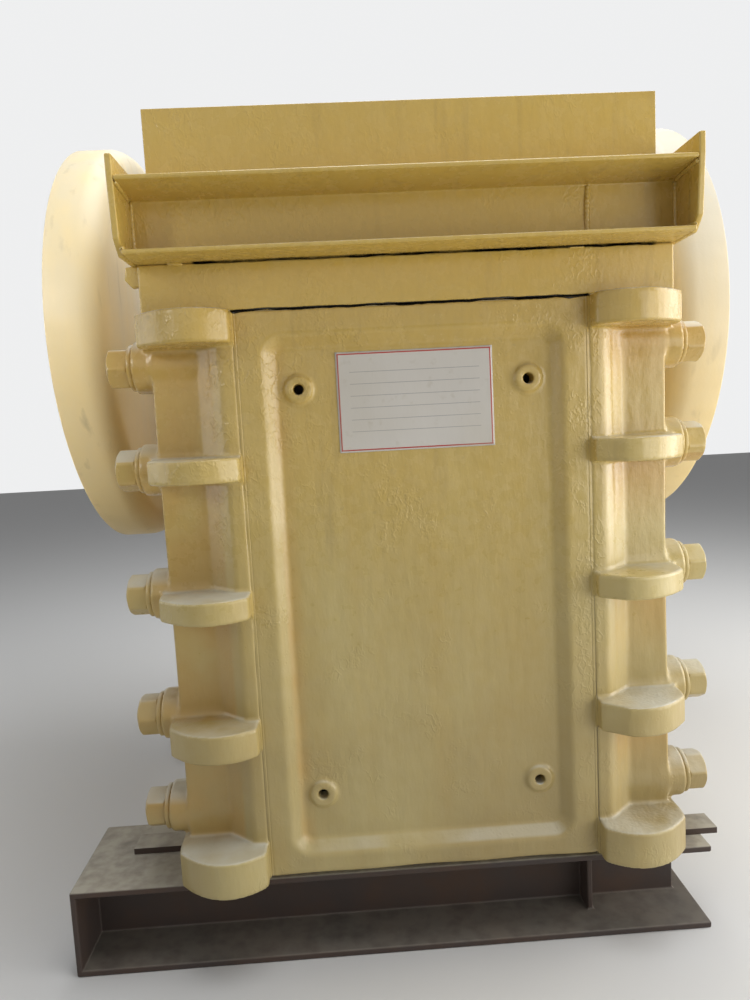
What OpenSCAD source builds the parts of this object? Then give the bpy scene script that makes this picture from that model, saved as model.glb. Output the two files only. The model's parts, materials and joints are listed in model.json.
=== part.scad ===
// Single-toggle jaw crusher, 600 mm class: cast side frames and front frame bolted together by
// cross bolts, a swing jaw hung on an eccentric shaft with two flywheels, and a feed collar on top.
// Every piece is drawn in the machine's own frame: X across, Y back from the front panel's face,
// Z up from the bottom of the castings. place() then puts the whole machine on the ground.

/* [Frame castings] */
// Clear width between the two side frames
throat_w = 680; // [600:5:800]
// Height of the front and side frames
frame_h = 1132; // [1110:1:1180]
// Length of the side frames from front to rear
frame_len = 1290; // [1285:1:1400]
// Thickness of a side frame's wall
wall_t = 50; // [40:1:60]
// How far the front column stands out from the wall
column_out = 118; // [100:1:140]
// Depth of the front column, from the panel's face
column_deep = 150; // [145:1:170]
// How far the column's outer face lies behind the panel's face
column_back = 45; // [35:1:55]
// Width of the column's front strip beside the panel
strip_w = 27; // [22:1:34]
// Width of the chamfer between the strip and the column's outer face
chamfer_w = 55; // [45:1:65]
// Depth of the front frame
front_t = 180; // [170:1:200]
// Width of the front frame's side walls, which the cross bolts clamp
border_t = 52; // [40:1:60]

/* [Front panel] */
// Width of the tray in the front panel
tray_w = 580; // [520:5:600]
// Height of the tray
tray_h = 1030; // [960:5:1040]
// Depth of the tray
tray_deep = 22; // [12:1:28]
// Width of the sloping edge round the tray
tray_slope = 25; // [12:1:28]
// Corner radius of the tray
tray_r = 42; // [30:1:60]
// Thickness of the casting behind the tray
panel_t = 30; // [22:1:36]
// Spacing of the four bossed holes, across
boss_dx = 448; // [420:2:470]
// Spacing of the four bossed holes, up
boss_dz = 821; // [780:1:860]
// Height of the lower pair of holes
boss_low_z = 160; // [140:1:180]
// Radius of a boss
boss_r = 27; // [20:1:34]
// Radius of a boss's hole
boss_hole_r = 10; // [6:0.5:14]
// How far a boss stands up from the tray's floor
boss_up = 8; // [3:1:11]

/* [Ribs of the side frames] */
// Radius of a rib's rounded front end
lug_r = 96; // [90:1:102]
// Centre of the rounded end, out from the wall's inner face
lug_x = 76; // [70:1:82]
// Centre of the rounded end, behind the panel's face
lug_y = 29; // [22:1:36]
// Thickness of the foot rib
foot_rib_t = 74; // [60:1:80]
// Thickness of the top rib
top_rib_t = 61; // [50:1:70]
// Thickness of the second rib from the bottom
low_rib_t = 59; // [45:1:65]
// Thickness of the two ribs between
rib_t = 46; // [36:1:55]
// How far the ribs stand out behind the column
rib_out = 84; // [60:1:100]
// Thickness of the upright ribs and the rear flange
upright_t = 40; // [30:1:50]

/* [Cross bolts] */
// Height of the lowest front bolt
bolt_low_z = 119; // [113:1:126]
// Distance of the highest front bolt from the castings' top
bolt_top_down = 89; // [83:1:96]
// Step from the middle bolt, halfway between those two, to the next
bolt_near = 257; // [250:1:264]
// Depth of the bolts behind the panel's face
bolt_y = 95; // [93:0.5:98]
// Radius of a bolt boss
bolt_boss_r = 52; // [50:1:56]
// How far a bolt boss stands out from the column
bolt_boss_out = 40; // [25:1:50]
// Radius of a cross bolt
bolt_r = 24; // [18:0.5:26]
// Width of a nut across its flats
nut_af = 75; // [60:1:78]
// Height of a nut
nut_h = 40; // [30:1:48]
// Thickness of a washer
washer_t = 10; // [5:1:14]
// Radius of a washer
washer_r = 46; // [44:1:48]
// How far a bolt's end stands out of its nut
bolt_end = 7; // [3:1:14]
// Height of a bolt's head
head_h = 32; // [24:1:40]
// Clearance of a bolt in its hole, on the radius
bolt_clear = 1; // [0.5:0.1:2]

/* [Shaft and flywheels] */
// Height of the shaft's centre line above the castings' top
shaft_up = 51; // [51:1:98]
// Distance of the shaft's centre line from the side frames' rear end
shaft_back = 230; // [228:1:240]
// Radius of a flywheel
wheel_r = 600; // [520:5:640]
// Width of a flywheel's rim
wheel_w = 140; // [110:2:160]
// Distance between the outer faces of the flywheels
wheel_span = 1732; // [1720:2:1800]
// Thickness of the rim under its face
rim_t = 80; // [60:2:110]
// Thickness of the flywheel's web
web_t = 52; // [36:2:70]
// Radius of the flywheel's rounded inner edge
wheel_round = 62; // [20:2:80]
// Radius of the flywheel's hub
wheel_hub_r = 150; // [130:2:190]
// How far the hub stands in from the web
hub_in = 36; // [10:2:60]
// How far the hub's outer face lies inside the rim's edge
hub_back = 34; // [28:2:50]
// Radius of a round hole in the web
web_hole_r = 72; // [40:2:80]
// Radius of the shaft in the flywheels
seat_r = 70; // [60:1:76]
// Radius of the shaft in its main bearings
journal_r = 80; // [78:1:90]
// Radius of the shaft's eccentric middle
eccentric_r = 95; // [92:1:98]
// Throw of the eccentric
throw = 14; // [8:1:16]
// Running clearance of the shaft in its bearings, on the radius
run_clear = 0.3; // [0.2:0.05:0.8]

/* [Main bearings] */
// Radius of a bearing housing
housing_r = 170; // [155:1:176]
// Length of a bearing housing
housing_l = 200; // [180:2:210]
// Radius of a housing's end flange
housing_flange_r = 196; // [190:1:204]
// Thickness of a housing's end flange
housing_flange_t = 20; // [12:1:26]
// Thickness of the saddle and the cap round a housing
cap_t = 45; // [35:1:50]
// Thickness of a cap's bolting feet
cap_foot_t = 42; // [30:1:50]
// Length of a cap's bolting foot past its ring
cap_foot_l = 15; // [8:1:15]

/* [Swing jaw] */
// Radius of the swing jaw's barrel
barrel_r = 190; // [170:1:200]
// Half width of the swing jaw
pitman_half = 300; // [280:1:304]
// Foot of the swing jaw's seat, behind the panel's face
seat_foot_y = 385; // [380:1:400]
// How far the top of the seat lies in front of the shaft's centre line
seat_top_fore = 298; // [290:1:310]
// Height of the foot of the seat
seat_foot_z = 20; // [10:1:30]
// How far the top of the seat lies below the shaft's centre line
seat_top_down = 33; // [23:1:53]
// Thickness of the swing jaw's front plate
pitman_plate_t = 62; // [45:1:75]
// Thickness of the swing jaw's ribs
pitman_rib_t = 32; // [24:1:44]
// Clearance of the eccentric in the barrel at its widest turn
barrel_clear = 6; // [5:0.5:12]
// Thickness of the barrel's end rings
barrel_ring_t = 12; // [8:1:16]
// Clearance of the swing jaw's plate and wedge on the slanted seat
seat_gap = 0.3; // [0.2:0.1:0.9]
// Length of the wedge up the seat
wedge_l = 40; // [30:1:50]

/* [Jaw plates] */
// Thickness of a jaw plate at its ridges
jaw_t = 65; // [52:1:72]
// Depth of the corrugations
ridge_deep = 26; // [14:1:30]
// Pitch of the corrugations
ridge_pitch = 50; // [40:1:60]
// Height of the jaw plates' lower edge
jaw_foot_z = 30; // [25:1:45]
// Length of the fixed jaw plate
fixed_jaw_l = 1070; // [1000:5:1080]
// Length of the swing jaw plate
swing_jaw_l = 1075; // [1000:5:1095]
// Half width of the fixed jaw plate
fixed_jaw_half = 310; // [290:1:314]
// Thickness of the cheek plates
cheek_t = 25; // [16:1:30]
// Joint between upper and lower cheek plates
cheek_gap = 3; // [1:1:6]
// Height of the joint between upper and lower cheek plates
cheek_split_z = 560; // [480:5:640]
// How far the cheek plates reach back beside the swing jaw
cheek_over = 40; // [20:2:60]

/* [Toggle] */
// Centre of the toggle's front end, behind the foot of the swing jaw's seat
toggle_back = 215; // [210:1:221]
// Height of the toggle's front end
toggle_z = 190; // [185:1:198]
// Slope of the toggle
toggle_angle = 22; // [18:1:24]
// Gap from the centre of the toggle's rear end to the toggle block's face
toggle_end_gap = 20; // [18:1:24]
// Thickness of the toggle
toggle_t = 40; // [30:1:44]
// Half width of the toggle
toggle_half = 230; // [200:2:250]
// Radius of the toggle's round ends
toggle_end_r = 24; // [22:1:26]
// Height of a toggle seat
toggle_seat_h = 72; // [64:1:80]
// Depth of a toggle seat
toggle_seat_d = 46; // [36:1:52]
// Depth of the toggle block
block_d = 60; // [50:1:64]
// Height of the toggle block
block_h = 190; // [180:2:200]
// How far the toggle block reaches past the toggle at each side
block_over = 40; // [20:2:44]
// Thickness of the stack of setting shims
shim_t = 20; // [10:1:40]
// Height of the setting shims
shim_h = 180; // [150:2:188]

/* [Rear frame and tension rods] */
// Distance of the rear frame's bearing face from the side frames' rear end
rear_back = 300; // [290:1:305]
// Depth of the rear frame
rear_t = 180; // [160:2:200]
// Height of the rear frame's lower edge
rear_low_z = 130; // [122:1:134]
// Height of the rear frame
rear_h = 450; // [440:5:480]
// Radius of a tension rod
rod_r = 16; // [12:0.5:19]
// Height of the tension rods
rod_z = 58; // [55:1:64]
// Distance of a tension rod from the middle
rod_x = 150; // [110:2:180]
// Radius of a tension spring's coil
spring_r = 38; // [36:1:42]
// Radius of the spring's wire
spring_wire_r = 7; // [5:0.5:8]
// Length of a tension spring
spring_l = 120; // [90:2:150]
// Number of turns of a tension spring
spring_turns = 6; // [4:1:7]

/* [Feed collar] */
// Height of the band between the frames and the collar
lintel_h = 91; // [70:1:100]
// Depth of the band across the front
lintel_t = 60; // [45:1:80]
// Height of the collar's channel
collar_h = 130; // [115:1:160]
// How far the channel's upper flange stands out in front
collar_out = 97; // [90:1:110]
// How far the channel's lower flange stands out in front
collar_low_out = 88; // [70:1:90]
// Thickness of the collar's plates
collar_t = 12; // [8:1:16]
// Thickness of the channel's flanges at their edge
flange_edge_t = 8; // [5:1:11]
// Thickness of the channel's flanges at the web
flange_root_t = 18; // [12:1:24]
// Size of the cut at the lower front corner of a side plate
collar_corner = 26; // [10:2:34]
// Height of the collar's side plates above its channel
collar_side_up = 36; // [20:1:50]
// Inner length of the collar from front to rear
collar_len = 690; // [660:5:700]
// Height of the feed skirt above the channel
skirt_h = 150; // [110:5:200]
// Thickness of the feed skirt
skirt_t = 8; // [6:1:12]

/* [Base] */
// Height of a base beam
beam_h = 186; // [150:2:220]
// Width of a base beam's flanges
beam_w = 250; // [220:5:280]
// Thickness of a base beam's flanges
flange_t = 14; // [10:1:20]
// Thickness of a base beam's web
beam_web_t = 12; // [8:1:16]
// Left end of the base beams, from the middle
beam_left = 755; // [700:5:780]
// Right end of the base beams, from the middle
beam_right = 585; // [560:5:640]
// Front edge of the front beam, behind the panel's face
beam_front_y = 15; // [10:1:20]
// Distance of the rear beam's front edge from the side frames' rear end
beam_rear_back = 270; // [250:2:280]
// How far a beam's flanges run past the right end of its web
flange_past = 32; // [10:1:60]
// How far a beam's stiffener lies inside the edges of its flanges
stiffener_in = 70; // [50:2:90]
// Thickness of the packing plates
pack_t = 14; // [8:1:20]
// Width of a packing plate
pack_w = 58; // [50:1:90]
// How far the left packing plates reach past the frame
pack_left_out = 149; // [80:1:160]
// How far the right packing plates reach past the frame
pack_right_out = 112; // [80:1:130]
// Front edge of the left packing plates, behind their beam's front edge
pack_left_y = 124; // [80:2:160]
// Front edge of the right packing plates, behind their beam's front edge
pack_right_y = 44; // [20:2:120]

/* [Hidden] */
$fn = 72;

CREAM = [0.87, 0.80, 0.59];
STEEL = [0.45, 0.44, 0.42];
MANGANESE = [0.36, 0.35, 0.34];
BEAM = [0.20, 0.16, 0.14];

inner_x = throat_w / 2;
wall_x = inner_x + wall_t;
column_x = wall_x + column_out;
base_h = beam_h + pack_t;
shaft_y = frame_len - shaft_back;
shaft_z = frame_h + shaft_up;
rear_y = frame_len - rear_back;
mid_y = (shaft_y + wheel_r - collar_out) / 2;
bolt_top_z = frame_h - bolt_top_down;
bolt_mid_z = (bolt_low_z + bolt_top_z) / 2;
front_bolts_z = [bolt_low_z, bolt_mid_z - bolt_near, bolt_mid_z, bolt_mid_z + bolt_near, bolt_top_z];
rib_ts = [foot_rib_t, low_rib_t, rib_t, rib_t, top_rib_t];
rib_step = (frame_h - foot_rib_t / 2 - top_rib_t / 2) / 4;

// Moves a piece from the machine's own frame to the ground frame
module place() { translate([0, -mid_y, base_h]) children(); }
// Extrudes a side view, drawn in Y and Z, from x0 to x1
module side_view(x0, x1) { translate([x0, 0, 0]) rotate([90, 0, 90]) linear_extrude(x1 - x0) children(); }
// A round bar along X from x0 to x1
module bar_x(x0, x1, r, y, z) { translate([x0, y, z]) rotate([0, 90, 0]) cylinder(h = x1 - x0, r = r); }
// A round bar along Y from y0 to y1
module bar_y(y0, y1, r, x, z) { translate([x, y0, z]) rotate([-90, 0, 0]) cylinder(h = y1 - y0, r = r); }
// The same piece on both sides of the machine
module both_sides() { children(); mirror([1, 0, 0]) children(); }
// A rectangle with round corners, centred on its middle
module round_rect(w, h, r) {
    square([w - 2 * r, h], center = true);
    square([w, h - 2 * r], center = true);
    for (x = [-1, 1], z = [-1, 1]) translate([x * (w / 2 - r), z * (h / 2 - r)]) circle(r);
}

cut = 1;

/* Front frame: a ribbed casting with the tray and its four bossed holes in front */
pocket_rib = 28;
boss_z = [boss_low_z, boss_low_z + boss_dz];

module tray() {
    translate([0, 0, frame_h / 2]) rotate([90, 0, 0]) hull() {
        translate([0, 0, cut]) linear_extrude(cut) round_rect(tray_w, tray_h, tray_r);
        translate([0, 0, -tray_deep]) linear_extrude(cut)
            round_rect(tray_w - 2 * tray_slope, tray_h - 2 * tray_slope, tray_r - tray_slope / 2);
    }
}

// The pockets behind the panel, one for the heads of each pair of cross bolts
module rear_pockets() {
    edges = [pocket_rib,
        for (i = [0:3]) (front_bolts_z[i] + front_bolts_z[i + 1]) / 2,
        frame_h - pocket_rib];
    y0 = tray_deep + panel_t;
    for (i = [0:4]) {
        z0 = edges[i] + (i == 0 ? 0 : pocket_rib / 2);
        z1 = edges[i + 1] - (i == 4 ? 0 : pocket_rib / 2);
        translate([border_t - inner_x, y0, z0])
            cube([2 * (inner_x - border_t), front_t - y0 + cut, z1 - z0]);
    }
}

module front_frame() color(CREAM) place() difference() {
    union() {
        difference() {
            translate([-inner_x, 0, 0]) cube([throat_w, front_t, frame_h]);
            tray();
            rear_pockets();
        }
        for (x = [-1, 1], z = boss_z)
            bar_y(tray_deep - boss_up, tray_deep + panel_t / 2, boss_r, x * boss_dx / 2, z);
    }
    for (x = [-1, 1], z = boss_z)
        bar_y(-cut, tray_deep + panel_t + cut, boss_hole_r, x * boss_dx / 2, z);
    both_sides() for (z = front_bolts_z)
        bar_x(inner_x - border_t - cut, inner_x + cut, bolt_r + bolt_clear, bolt_y, z);
}

/* Side frames: a wall with a front column, five ribs with rounded ends, and a bearing saddle */
saddle_r = housing_r + cap_t;
saddle_y = shaft_y - shaft_back;
shoulder_l = 50;
low_rib_z = foot_rib_t / 2 + rib_step;
washer_gap = 4;
rear_bolt_off = low_rib_t / 2 + washer_r + washer_gap;
rear_bolts_z = [low_rib_z - rear_bolt_off, low_rib_z + rear_bolt_off,
                low_rib_z + rear_bolt_off + 2 * washer_r + washer_gap];
rear_bolt_y = rear_y + rear_t / 2;
rear_boss_out = 30;

module wall_outline() polygon([[0, 0], [frame_len, 0], [frame_len, shaft_z],
    [saddle_y, shaft_z], [saddle_y - shoulder_l, frame_h], [0, frame_h]]);

module column_plan() polygon([[inner_x, 0], [inner_x + strip_w, 0],
    [inner_x + strip_w + chamfer_w, column_back], [column_x, column_back],
    [column_x, column_deep], [inner_x, column_deep]]);

module rib_plan() {
    taper_y = column_deep + rib_out;
    intersection() {
        translate([inner_x + lug_x, lug_y]) circle(lug_r);
        translate([inner_x, lug_y - lug_r]) square(2 * lug_r);
    }
    polygon([[inner_x, lug_y], [inner_x + lug_x + lug_r, lug_y],
        [inner_x + lug_x + lug_r, column_deep], [wall_x + rib_out, taper_y],
        [wall_x + rib_out, frame_len - upright_t / 2], [inner_x, frame_len - upright_t / 2]]);
}

module upright(y, z1) translate([inner_x + wall_t / 2, y, 0])
    cube([wall_t / 2 + rib_out, upright_t, z1]);

module side_frame() color(CREAM) place() difference() {
    union() {
        side_view(inner_x, wall_x) wall_outline();
        linear_extrude(frame_h) column_plan();
        for (i = [0:4])
            translate([0, 0, foot_rib_t / 2 + i * rib_step - rib_ts[i] / 2])
                linear_extrude(rib_ts[i]) rib_plan();
        for (z = front_bolts_z)
            bar_x(wall_x, column_x + bolt_boss_out, bolt_boss_r, bolt_y, z);
        upright(saddle_y, shaft_z);
        upright(frame_len - upright_t, shaft_z);
        side_view(inner_x, inner_x + housing_l) intersection() {
            translate([shaft_y, shaft_z]) circle(saddle_r);
            translate([saddle_y, shaft_z - saddle_r]) square([2 * shaft_back, saddle_r]);
        }
        translate([inner_x, saddle_y, shaft_z - cap_foot_t])
            cube([housing_l, 2 * shaft_back, cap_foot_t]);
        for (z = rear_bolts_z)
            bar_x(wall_x, wall_x + rear_boss_out, bolt_boss_r, rear_bolt_y, z);
    }
    for (z = front_bolts_z)
        bar_x(inner_x - cut, column_x + bolt_boss_out + cut, bolt_r + bolt_clear, bolt_y, z);
    for (z = rear_bolts_z)
        bar_x(inner_x - cut, wall_x + rear_boss_out + cut, bolt_r + bolt_clear, rear_bolt_y, z);
    bar_x(inner_x - cut, inner_x + housing_l + cut, housing_r, shaft_y, shaft_z);
}
module left_side_frame() mirror([1, 0, 0]) side_frame();
module right_side_frame() side_frame();

/* Rear frame: the ribbed cross member that takes the toggle's thrust */
head_room = nut_af / 2 / cos(30) + washer_gap;
rear_wall_t = 45;
ledge_t = 26;
block_y = rear_y - shim_t - block_d;
toggle_y = seat_foot_y + toggle_back;
toggle_l = (block_y - toggle_end_gap - toggle_y) / cos(toggle_angle);
block_low_z = toggle_z + toggle_l * sin(toggle_angle) - block_h / 2;
rod_clear = 3;
rod_lug_t = 50;
rod_lug_w = 80;
rod_lug_low = 34;

module rear_frame() color(CREAM) place() difference() {
    union() {
        translate([-inner_x, rear_y, rear_low_z]) cube([throat_w, rear_t, rear_h]);
        translate([-inner_x, block_y, block_low_z - ledge_t])
            cube([throat_w, rear_y - block_y + cut, ledge_t]);
        for (x = [-1, 1])
            translate([x * rod_x - rod_lug_w / 2, rear_y + rear_t - rod_lug_t, rod_z - rod_lug_low])
                cube([rod_lug_w, rod_lug_t, rear_low_z - rod_z + rod_lug_low + cut]);
    }
    for (i = [0:2]) translate([-inner_x + border_t + i * (throat_w - 2 * border_t + pocket_rib) / 3,
            rear_y + rear_wall_t, rear_bolts_z[0] - head_room])
        cube([(throat_w - 2 * border_t - 2 * pocket_rib) / 3, rear_t,
            rear_bolts_z[2] - rear_bolts_z[0] + 2 * head_room]);
    both_sides() for (z = rear_bolts_z)
        bar_x(inner_x - border_t - cut, inner_x + cut, bolt_r + bolt_clear, rear_bolt_y, z);
    for (x = [-1, 1])
        bar_y(rear_y + rear_t - rod_lug_t - cut, rear_y + rear_t + cut, rod_r + rod_clear,
            x * rod_x, rod_z);
}

/* Cross bolts: head inside the frame, washer, nut and bolt end outside */
module hex_x(x0, x1, af, y, z, turn) {
    chamfer = 4;
    corner_r = af / 2 / cos(30);
    intersection() {
        translate([x0, y, z]) rotate([0, 90, 0]) rotate([0, 0, turn])
            cylinder(h = x1 - x0, r = corner_r, $fn = 6);
        translate([x0, y, z]) rotate([0, 90, 0])
            cylinder(h = x1 - x0, r1 = corner_r + (x1 - x0) - chamfer, r2 = corner_r - chamfer);
    }
}

module cross_bolt(face_x, y, z) {
    nut_x = face_x + washer_t;
    head_x = inner_x - border_t;
    bar_x(head_x - cut, nut_x + nut_h + bolt_end, bolt_r, y, z);
    mirror([1, 0, 0]) hex_x(-head_x, -head_x + head_h, nut_af, y, z, 0);
    bar_x(face_x, nut_x, washer_r, y, z);
    hex_x(nut_x, nut_x + nut_h, nut_af, y, z, 30);
}
module front_bolts() color(CREAM) place() for (z = front_bolts_z)
    cross_bolt(column_x + bolt_boss_out, bolt_y, z);
module left_front_bolts() mirror([1, 0, 0]) front_bolts();
module right_front_bolts() front_bolts();
module rear_bolts() color(CREAM) place() both_sides() for (z = rear_bolts_z)
    cross_bolt(wall_x + rear_boss_out, rear_bolt_y, z);

/* Band across the front and along the side frames, under the feed collar */
collar_z = frame_h + lintel_h;
collar_rear_y = collar_t + collar_len;
sill_t = 14;
module front_lintel() color(CREAM) place() translate([-column_x, 0, frame_h])
    cube([2 * column_x, lintel_t, lintel_h]);
module sill() color(CREAM) place() difference() {
    translate([inner_x, lintel_t, frame_h])
        cube([column_x - inner_x, collar_rear_y + collar_t - lintel_t, lintel_h]);
    translate([inner_x + sill_t, lintel_t - cut, frame_h + sill_t])
        cube([column_x, collar_rear_y + collar_t, lintel_h - 2 * sill_t]);
}
module left_sill() mirror([1, 0, 0]) sill();
module right_sill() sill();

/* Feed collar: a rolled channel in front, plates at the sides and behind */
collar_over = 2;
collar_x = column_x + collar_over;
module collar_front() color(CREAM) place() side_view(-collar_x, collar_x) translate([0, collar_z])
    polygon([[collar_t, 0], [collar_t, collar_h], [-collar_out, collar_h],
        [-collar_out, collar_h - flange_edge_t], [0, collar_h - flange_root_t],
        [0, flange_root_t], [-collar_low_out, flange_edge_t], [-collar_low_out, 0]]);
module collar_side() color(CREAM) place() side_view(collar_x, collar_x + collar_t)
    translate([0, collar_z]) polygon([[collar_corner - collar_low_out, 0],
        [collar_rear_y + collar_t, 0], [collar_rear_y + collar_t, collar_h],
        [collar_t, collar_h + collar_side_up], [-collar_out, collar_h + collar_side_up],
        [-collar_out, collar_h], [-collar_low_out, collar_corner]]);
module collar_left() mirror([1, 0, 0]) collar_side();
module collar_right() collar_side();
module collar_rear() color(CREAM) place() translate([-collar_x, collar_rear_y, collar_z])
    cube([2 * collar_x, collar_t, collar_h]);

/* Feed skirt: sheets that stand inside the collar and rise above it round the mouth */
skirt_in = 36;
skirt_x = column_x - skirt_in;
skirt_top_z = collar_z + collar_h + skirt_h;
module skirt_front() color(CREAM) place() translate([-skirt_x - skirt_t, collar_t, collar_z])
    cube([2 * (skirt_x + skirt_t), skirt_t, collar_h + skirt_h]);
module skirt_side() color(CREAM) place() side_view(skirt_x, skirt_x + skirt_t)
    polygon([[collar_t + skirt_t, collar_z], [collar_rear_y, collar_z],
        [collar_rear_y, skirt_top_z - skirt_h / 2], [collar_rear_y / 2, skirt_top_z],
        [collar_t + skirt_t, skirt_top_z]]);
module skirt_left() mirror([1, 0, 0]) skirt_side();
module skirt_right() skirt_side();
module skirt_rear() color(CREAM) place()
    translate([-skirt_x - skirt_t, collar_rear_y, collar_z + collar_h])
        cube([2 * (skirt_x + skirt_t), skirt_t, skirt_h / 2]);

/* Jaw plates: manganese castings with upright corrugations */
seat_top_y = shaft_y - seat_top_fore;
seat_top_z = shaft_z - seat_top_down;
seat_angle = atan2(seat_top_y - seat_foot_y, seat_top_z - seat_foot_z);
function seat_y(z) = seat_foot_y + (z - seat_foot_z) * tan(seat_angle);

// Height of the corrugations at x, as a share of their depth, with a ridge in the middle of x = 0
ridge_top = 0.14;
ridge_foot = 0.46;
function ridge(x) = let (t = abs(x / ridge_pitch - round(x / ridge_pitch)))
    t < ridge_top ? 1 : t > ridge_foot ? 0 : (ridge_foot - t) / (ridge_foot - ridge_top);
// The section of a jaw plate: flat back on the X axis, ridges towards +Y
module jaw_section(half, shift) {
    base = jaw_t - ridge_deep;
    n = floor(half / ridge_pitch) + 1;
    xs = [-half, for (i = [-n:n], k = [-ridge_foot, -ridge_top, ridge_top, ridge_foot])
        let (x = (i + k + shift) * ridge_pitch) if (abs(x) < half) x, half];
    polygon([[-half, 0], for (x = xs) [x, base + ridge_deep * ridge(x - shift * ridge_pitch)], [half, 0]]);
}
module fixed_jaw() color(MANGANESE) place() translate([0, front_t, jaw_foot_z])
    linear_extrude(fixed_jaw_l) jaw_section(fixed_jaw_half, 0);

// Puts children on the swing jaw's seat: their Z runs up the seat, their +Y points at the chamber
module on_seat(z) translate([0, seat_y(z), z]) rotate([-seat_angle, 0, 0]) mirror([0, 1, 0])
    translate([0, seat_gap, 0]) children();
module swing_jaw_plate() color(MANGANESE) place() on_seat(jaw_foot_z)
    linear_extrude(swing_jaw_l) jaw_section(pitman_half, 0.5);
wedge_in = 20;
wedge_slope = 14;
module jaw_wedge() color(STEEL) place() on_seat(jaw_foot_z) translate([0, 0, swing_jaw_l])
    rotate([90, 0, 90]) translate([0, 0, wedge_in - pitman_half])
        linear_extrude(2 * (pitman_half - wedge_in)) polygon([[0, 0], [jaw_t - ridge_deep, 0],
            [jaw_t - ridge_deep - wedge_slope, wedge_l], [0, wedge_l]]);

/* Cheek plates: liners on the side frames, beside the jaws */
module cheek(z0, z1)
    color(MANGANESE) place() side_view(inner_x - cheek_t, inner_x)
        polygon([[front_t, z0], [seat_y(z0) + cheek_over, z0],
            [seat_y(z1) + cheek_over, z1], [front_t, z1]]);
cheek_top_z = jaw_foot_z + fixed_jaw_l;
module upper_cheek() cheek(cheek_split_z + cheek_gap / 2, cheek_top_z);
module lower_cheek() cheek(jaw_foot_z, cheek_split_z - cheek_gap / 2);
module left_upper_cheek() mirror([1, 0, 0]) upper_cheek();
module left_lower_cheek() mirror([1, 0, 0]) lower_cheek();
module right_upper_cheek() upper_cheek();
module right_lower_cheek() lower_cheek();

/* Swing jaw: barrel, front plate, ribs and the toggle's housing in one casting */
barrel_bore = eccentric_r + throw + barrel_clear;
// The front plate's thick upper end, which runs back into the barrel
nose_back = 110;
nose_up = 40;
nose_down = 120;
nose_l = 160;
// The solid block behind the front plate's foot that holds the toggle's front seat
housing_h = 156;
housing_front = 128;
housing_gap = 12;
// The lugs under it for the tension rods, and how far the rods reach into them
lug_w = 60;
lug_l = 100;
lug_h = 70;
lug_in = 30;
rod_in = 30;
toggle_seat_u = 4;
// Puts children in the toggle's own frame: X along the toggle from its front end, Y square to it
module on_toggle() translate([toggle_y, toggle_z]) rotate(toggle_angle) children();
// The slot for a toggle seat, open towards the toggle
module seat_slot() translate([toggle_seat_u - toggle_seat_d, -toggle_seat_h / 2])
    square([2 * toggle_seat_d, toggle_seat_h]);

module pitman_rib_outline() {
    tangent = 62;
    rib_foot = 20;
    rib_end_in = 40;
    rib_end_up = 90;
    polygon([[seat_foot_y + rib_foot, seat_foot_z + rib_foot], [seat_top_y, seat_top_z],
        [shaft_y, shaft_z], [shaft_y + barrel_r * cos(tangent), shaft_z - barrel_r * sin(tangent)],
        [toggle_y - rib_end_in, toggle_z + rib_end_up]]);
}
module pitman_block() on_toggle() translate([-housing_front, -housing_h / 2])
    square([housing_front - housing_gap, housing_h]);
module pitman() color(CREAM) place() difference() {
    union() {
        side_view(-pitman_half, pitman_half) {
            translate([shaft_y, shaft_z]) circle(barrel_r);
            polygon([[seat_foot_y, seat_foot_z], [seat_top_y, seat_top_z],
                [seat_top_y + nose_back, seat_top_z + nose_up],
                [seat_top_y + nose_back, seat_top_z - nose_down],
                [seat_y(seat_top_z - nose_l) + pitman_plate_t, seat_top_z - nose_l],
                [seat_foot_y + pitman_plate_t, seat_foot_z]]);
            pitman_block();
        }
        for (i = [-1.5:1:1.5]) {
            x = i * (2 * pitman_half - pitman_rib_t) / 3;
            side_view(x - pitman_rib_t / 2, x + pitman_rib_t / 2) pitman_rib_outline();
        }
        for (x = [-1, 1]) translate([x * rod_x - lug_w / 2, seat_foot_y + lug_in, seat_foot_z])
            cube([lug_w, lug_l, lug_h]);
    }
    bar_x(-pitman_half - cut, pitman_half + cut, barrel_bore, shaft_y, shaft_z);
    side_view(-toggle_half, toggle_half) on_toggle() seat_slot();
    for (x = [-1, 1]) bar_y(rod_front_y, toggle_y, rod_r, x * rod_x, rod_z);
}
module barrel_rings() color(STEEL) place() both_sides() difference() {
    bar_x(pitman_half, pitman_half + barrel_ring_t, barrel_r - barrel_ring_t, shaft_y, shaft_z);
    bar_x(pitman_half - cut, pitman_half + barrel_ring_t + cut, barrel_bore, shaft_y, shaft_z);
}

/* Toggle plate between its two seats */
module toggle_plate() color(STEEL) place() side_view(-toggle_half, toggle_half) on_toggle() {
    translate([0, -toggle_t / 2]) square([toggle_l, toggle_t]);
    for (u = [0, toggle_l]) translate([u, 0]) circle(toggle_end_r);
}
module seat_outline() difference() {
    translate([toggle_seat_u - toggle_seat_d, -toggle_seat_h / 2]) square([toggle_seat_d, toggle_seat_h]);
    circle(toggle_end_r);
}
module front_toggle_seat() color(STEEL) place() side_view(-toggle_half, toggle_half)
    on_toggle() seat_outline();
module rear_toggle_seat() color(STEEL) place() side_view(-toggle_half, toggle_half)
    on_toggle() translate([toggle_l, 0]) mirror([1, 0]) seat_outline();
block_half = toggle_half + block_over;
module toggle_block() color(CREAM) place() side_view(-block_half, block_half) difference() {
    translate([block_y, block_low_z]) square([block_d, block_h]);
    on_toggle() translate([toggle_l, 0]) mirror([1, 0]) seat_slot();
}
module setting_shims() color(STEEL) place() translate([-toggle_half, block_y + block_d, block_low_z])
    cube([2 * toggle_half, shim_t, shim_h]);

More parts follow.
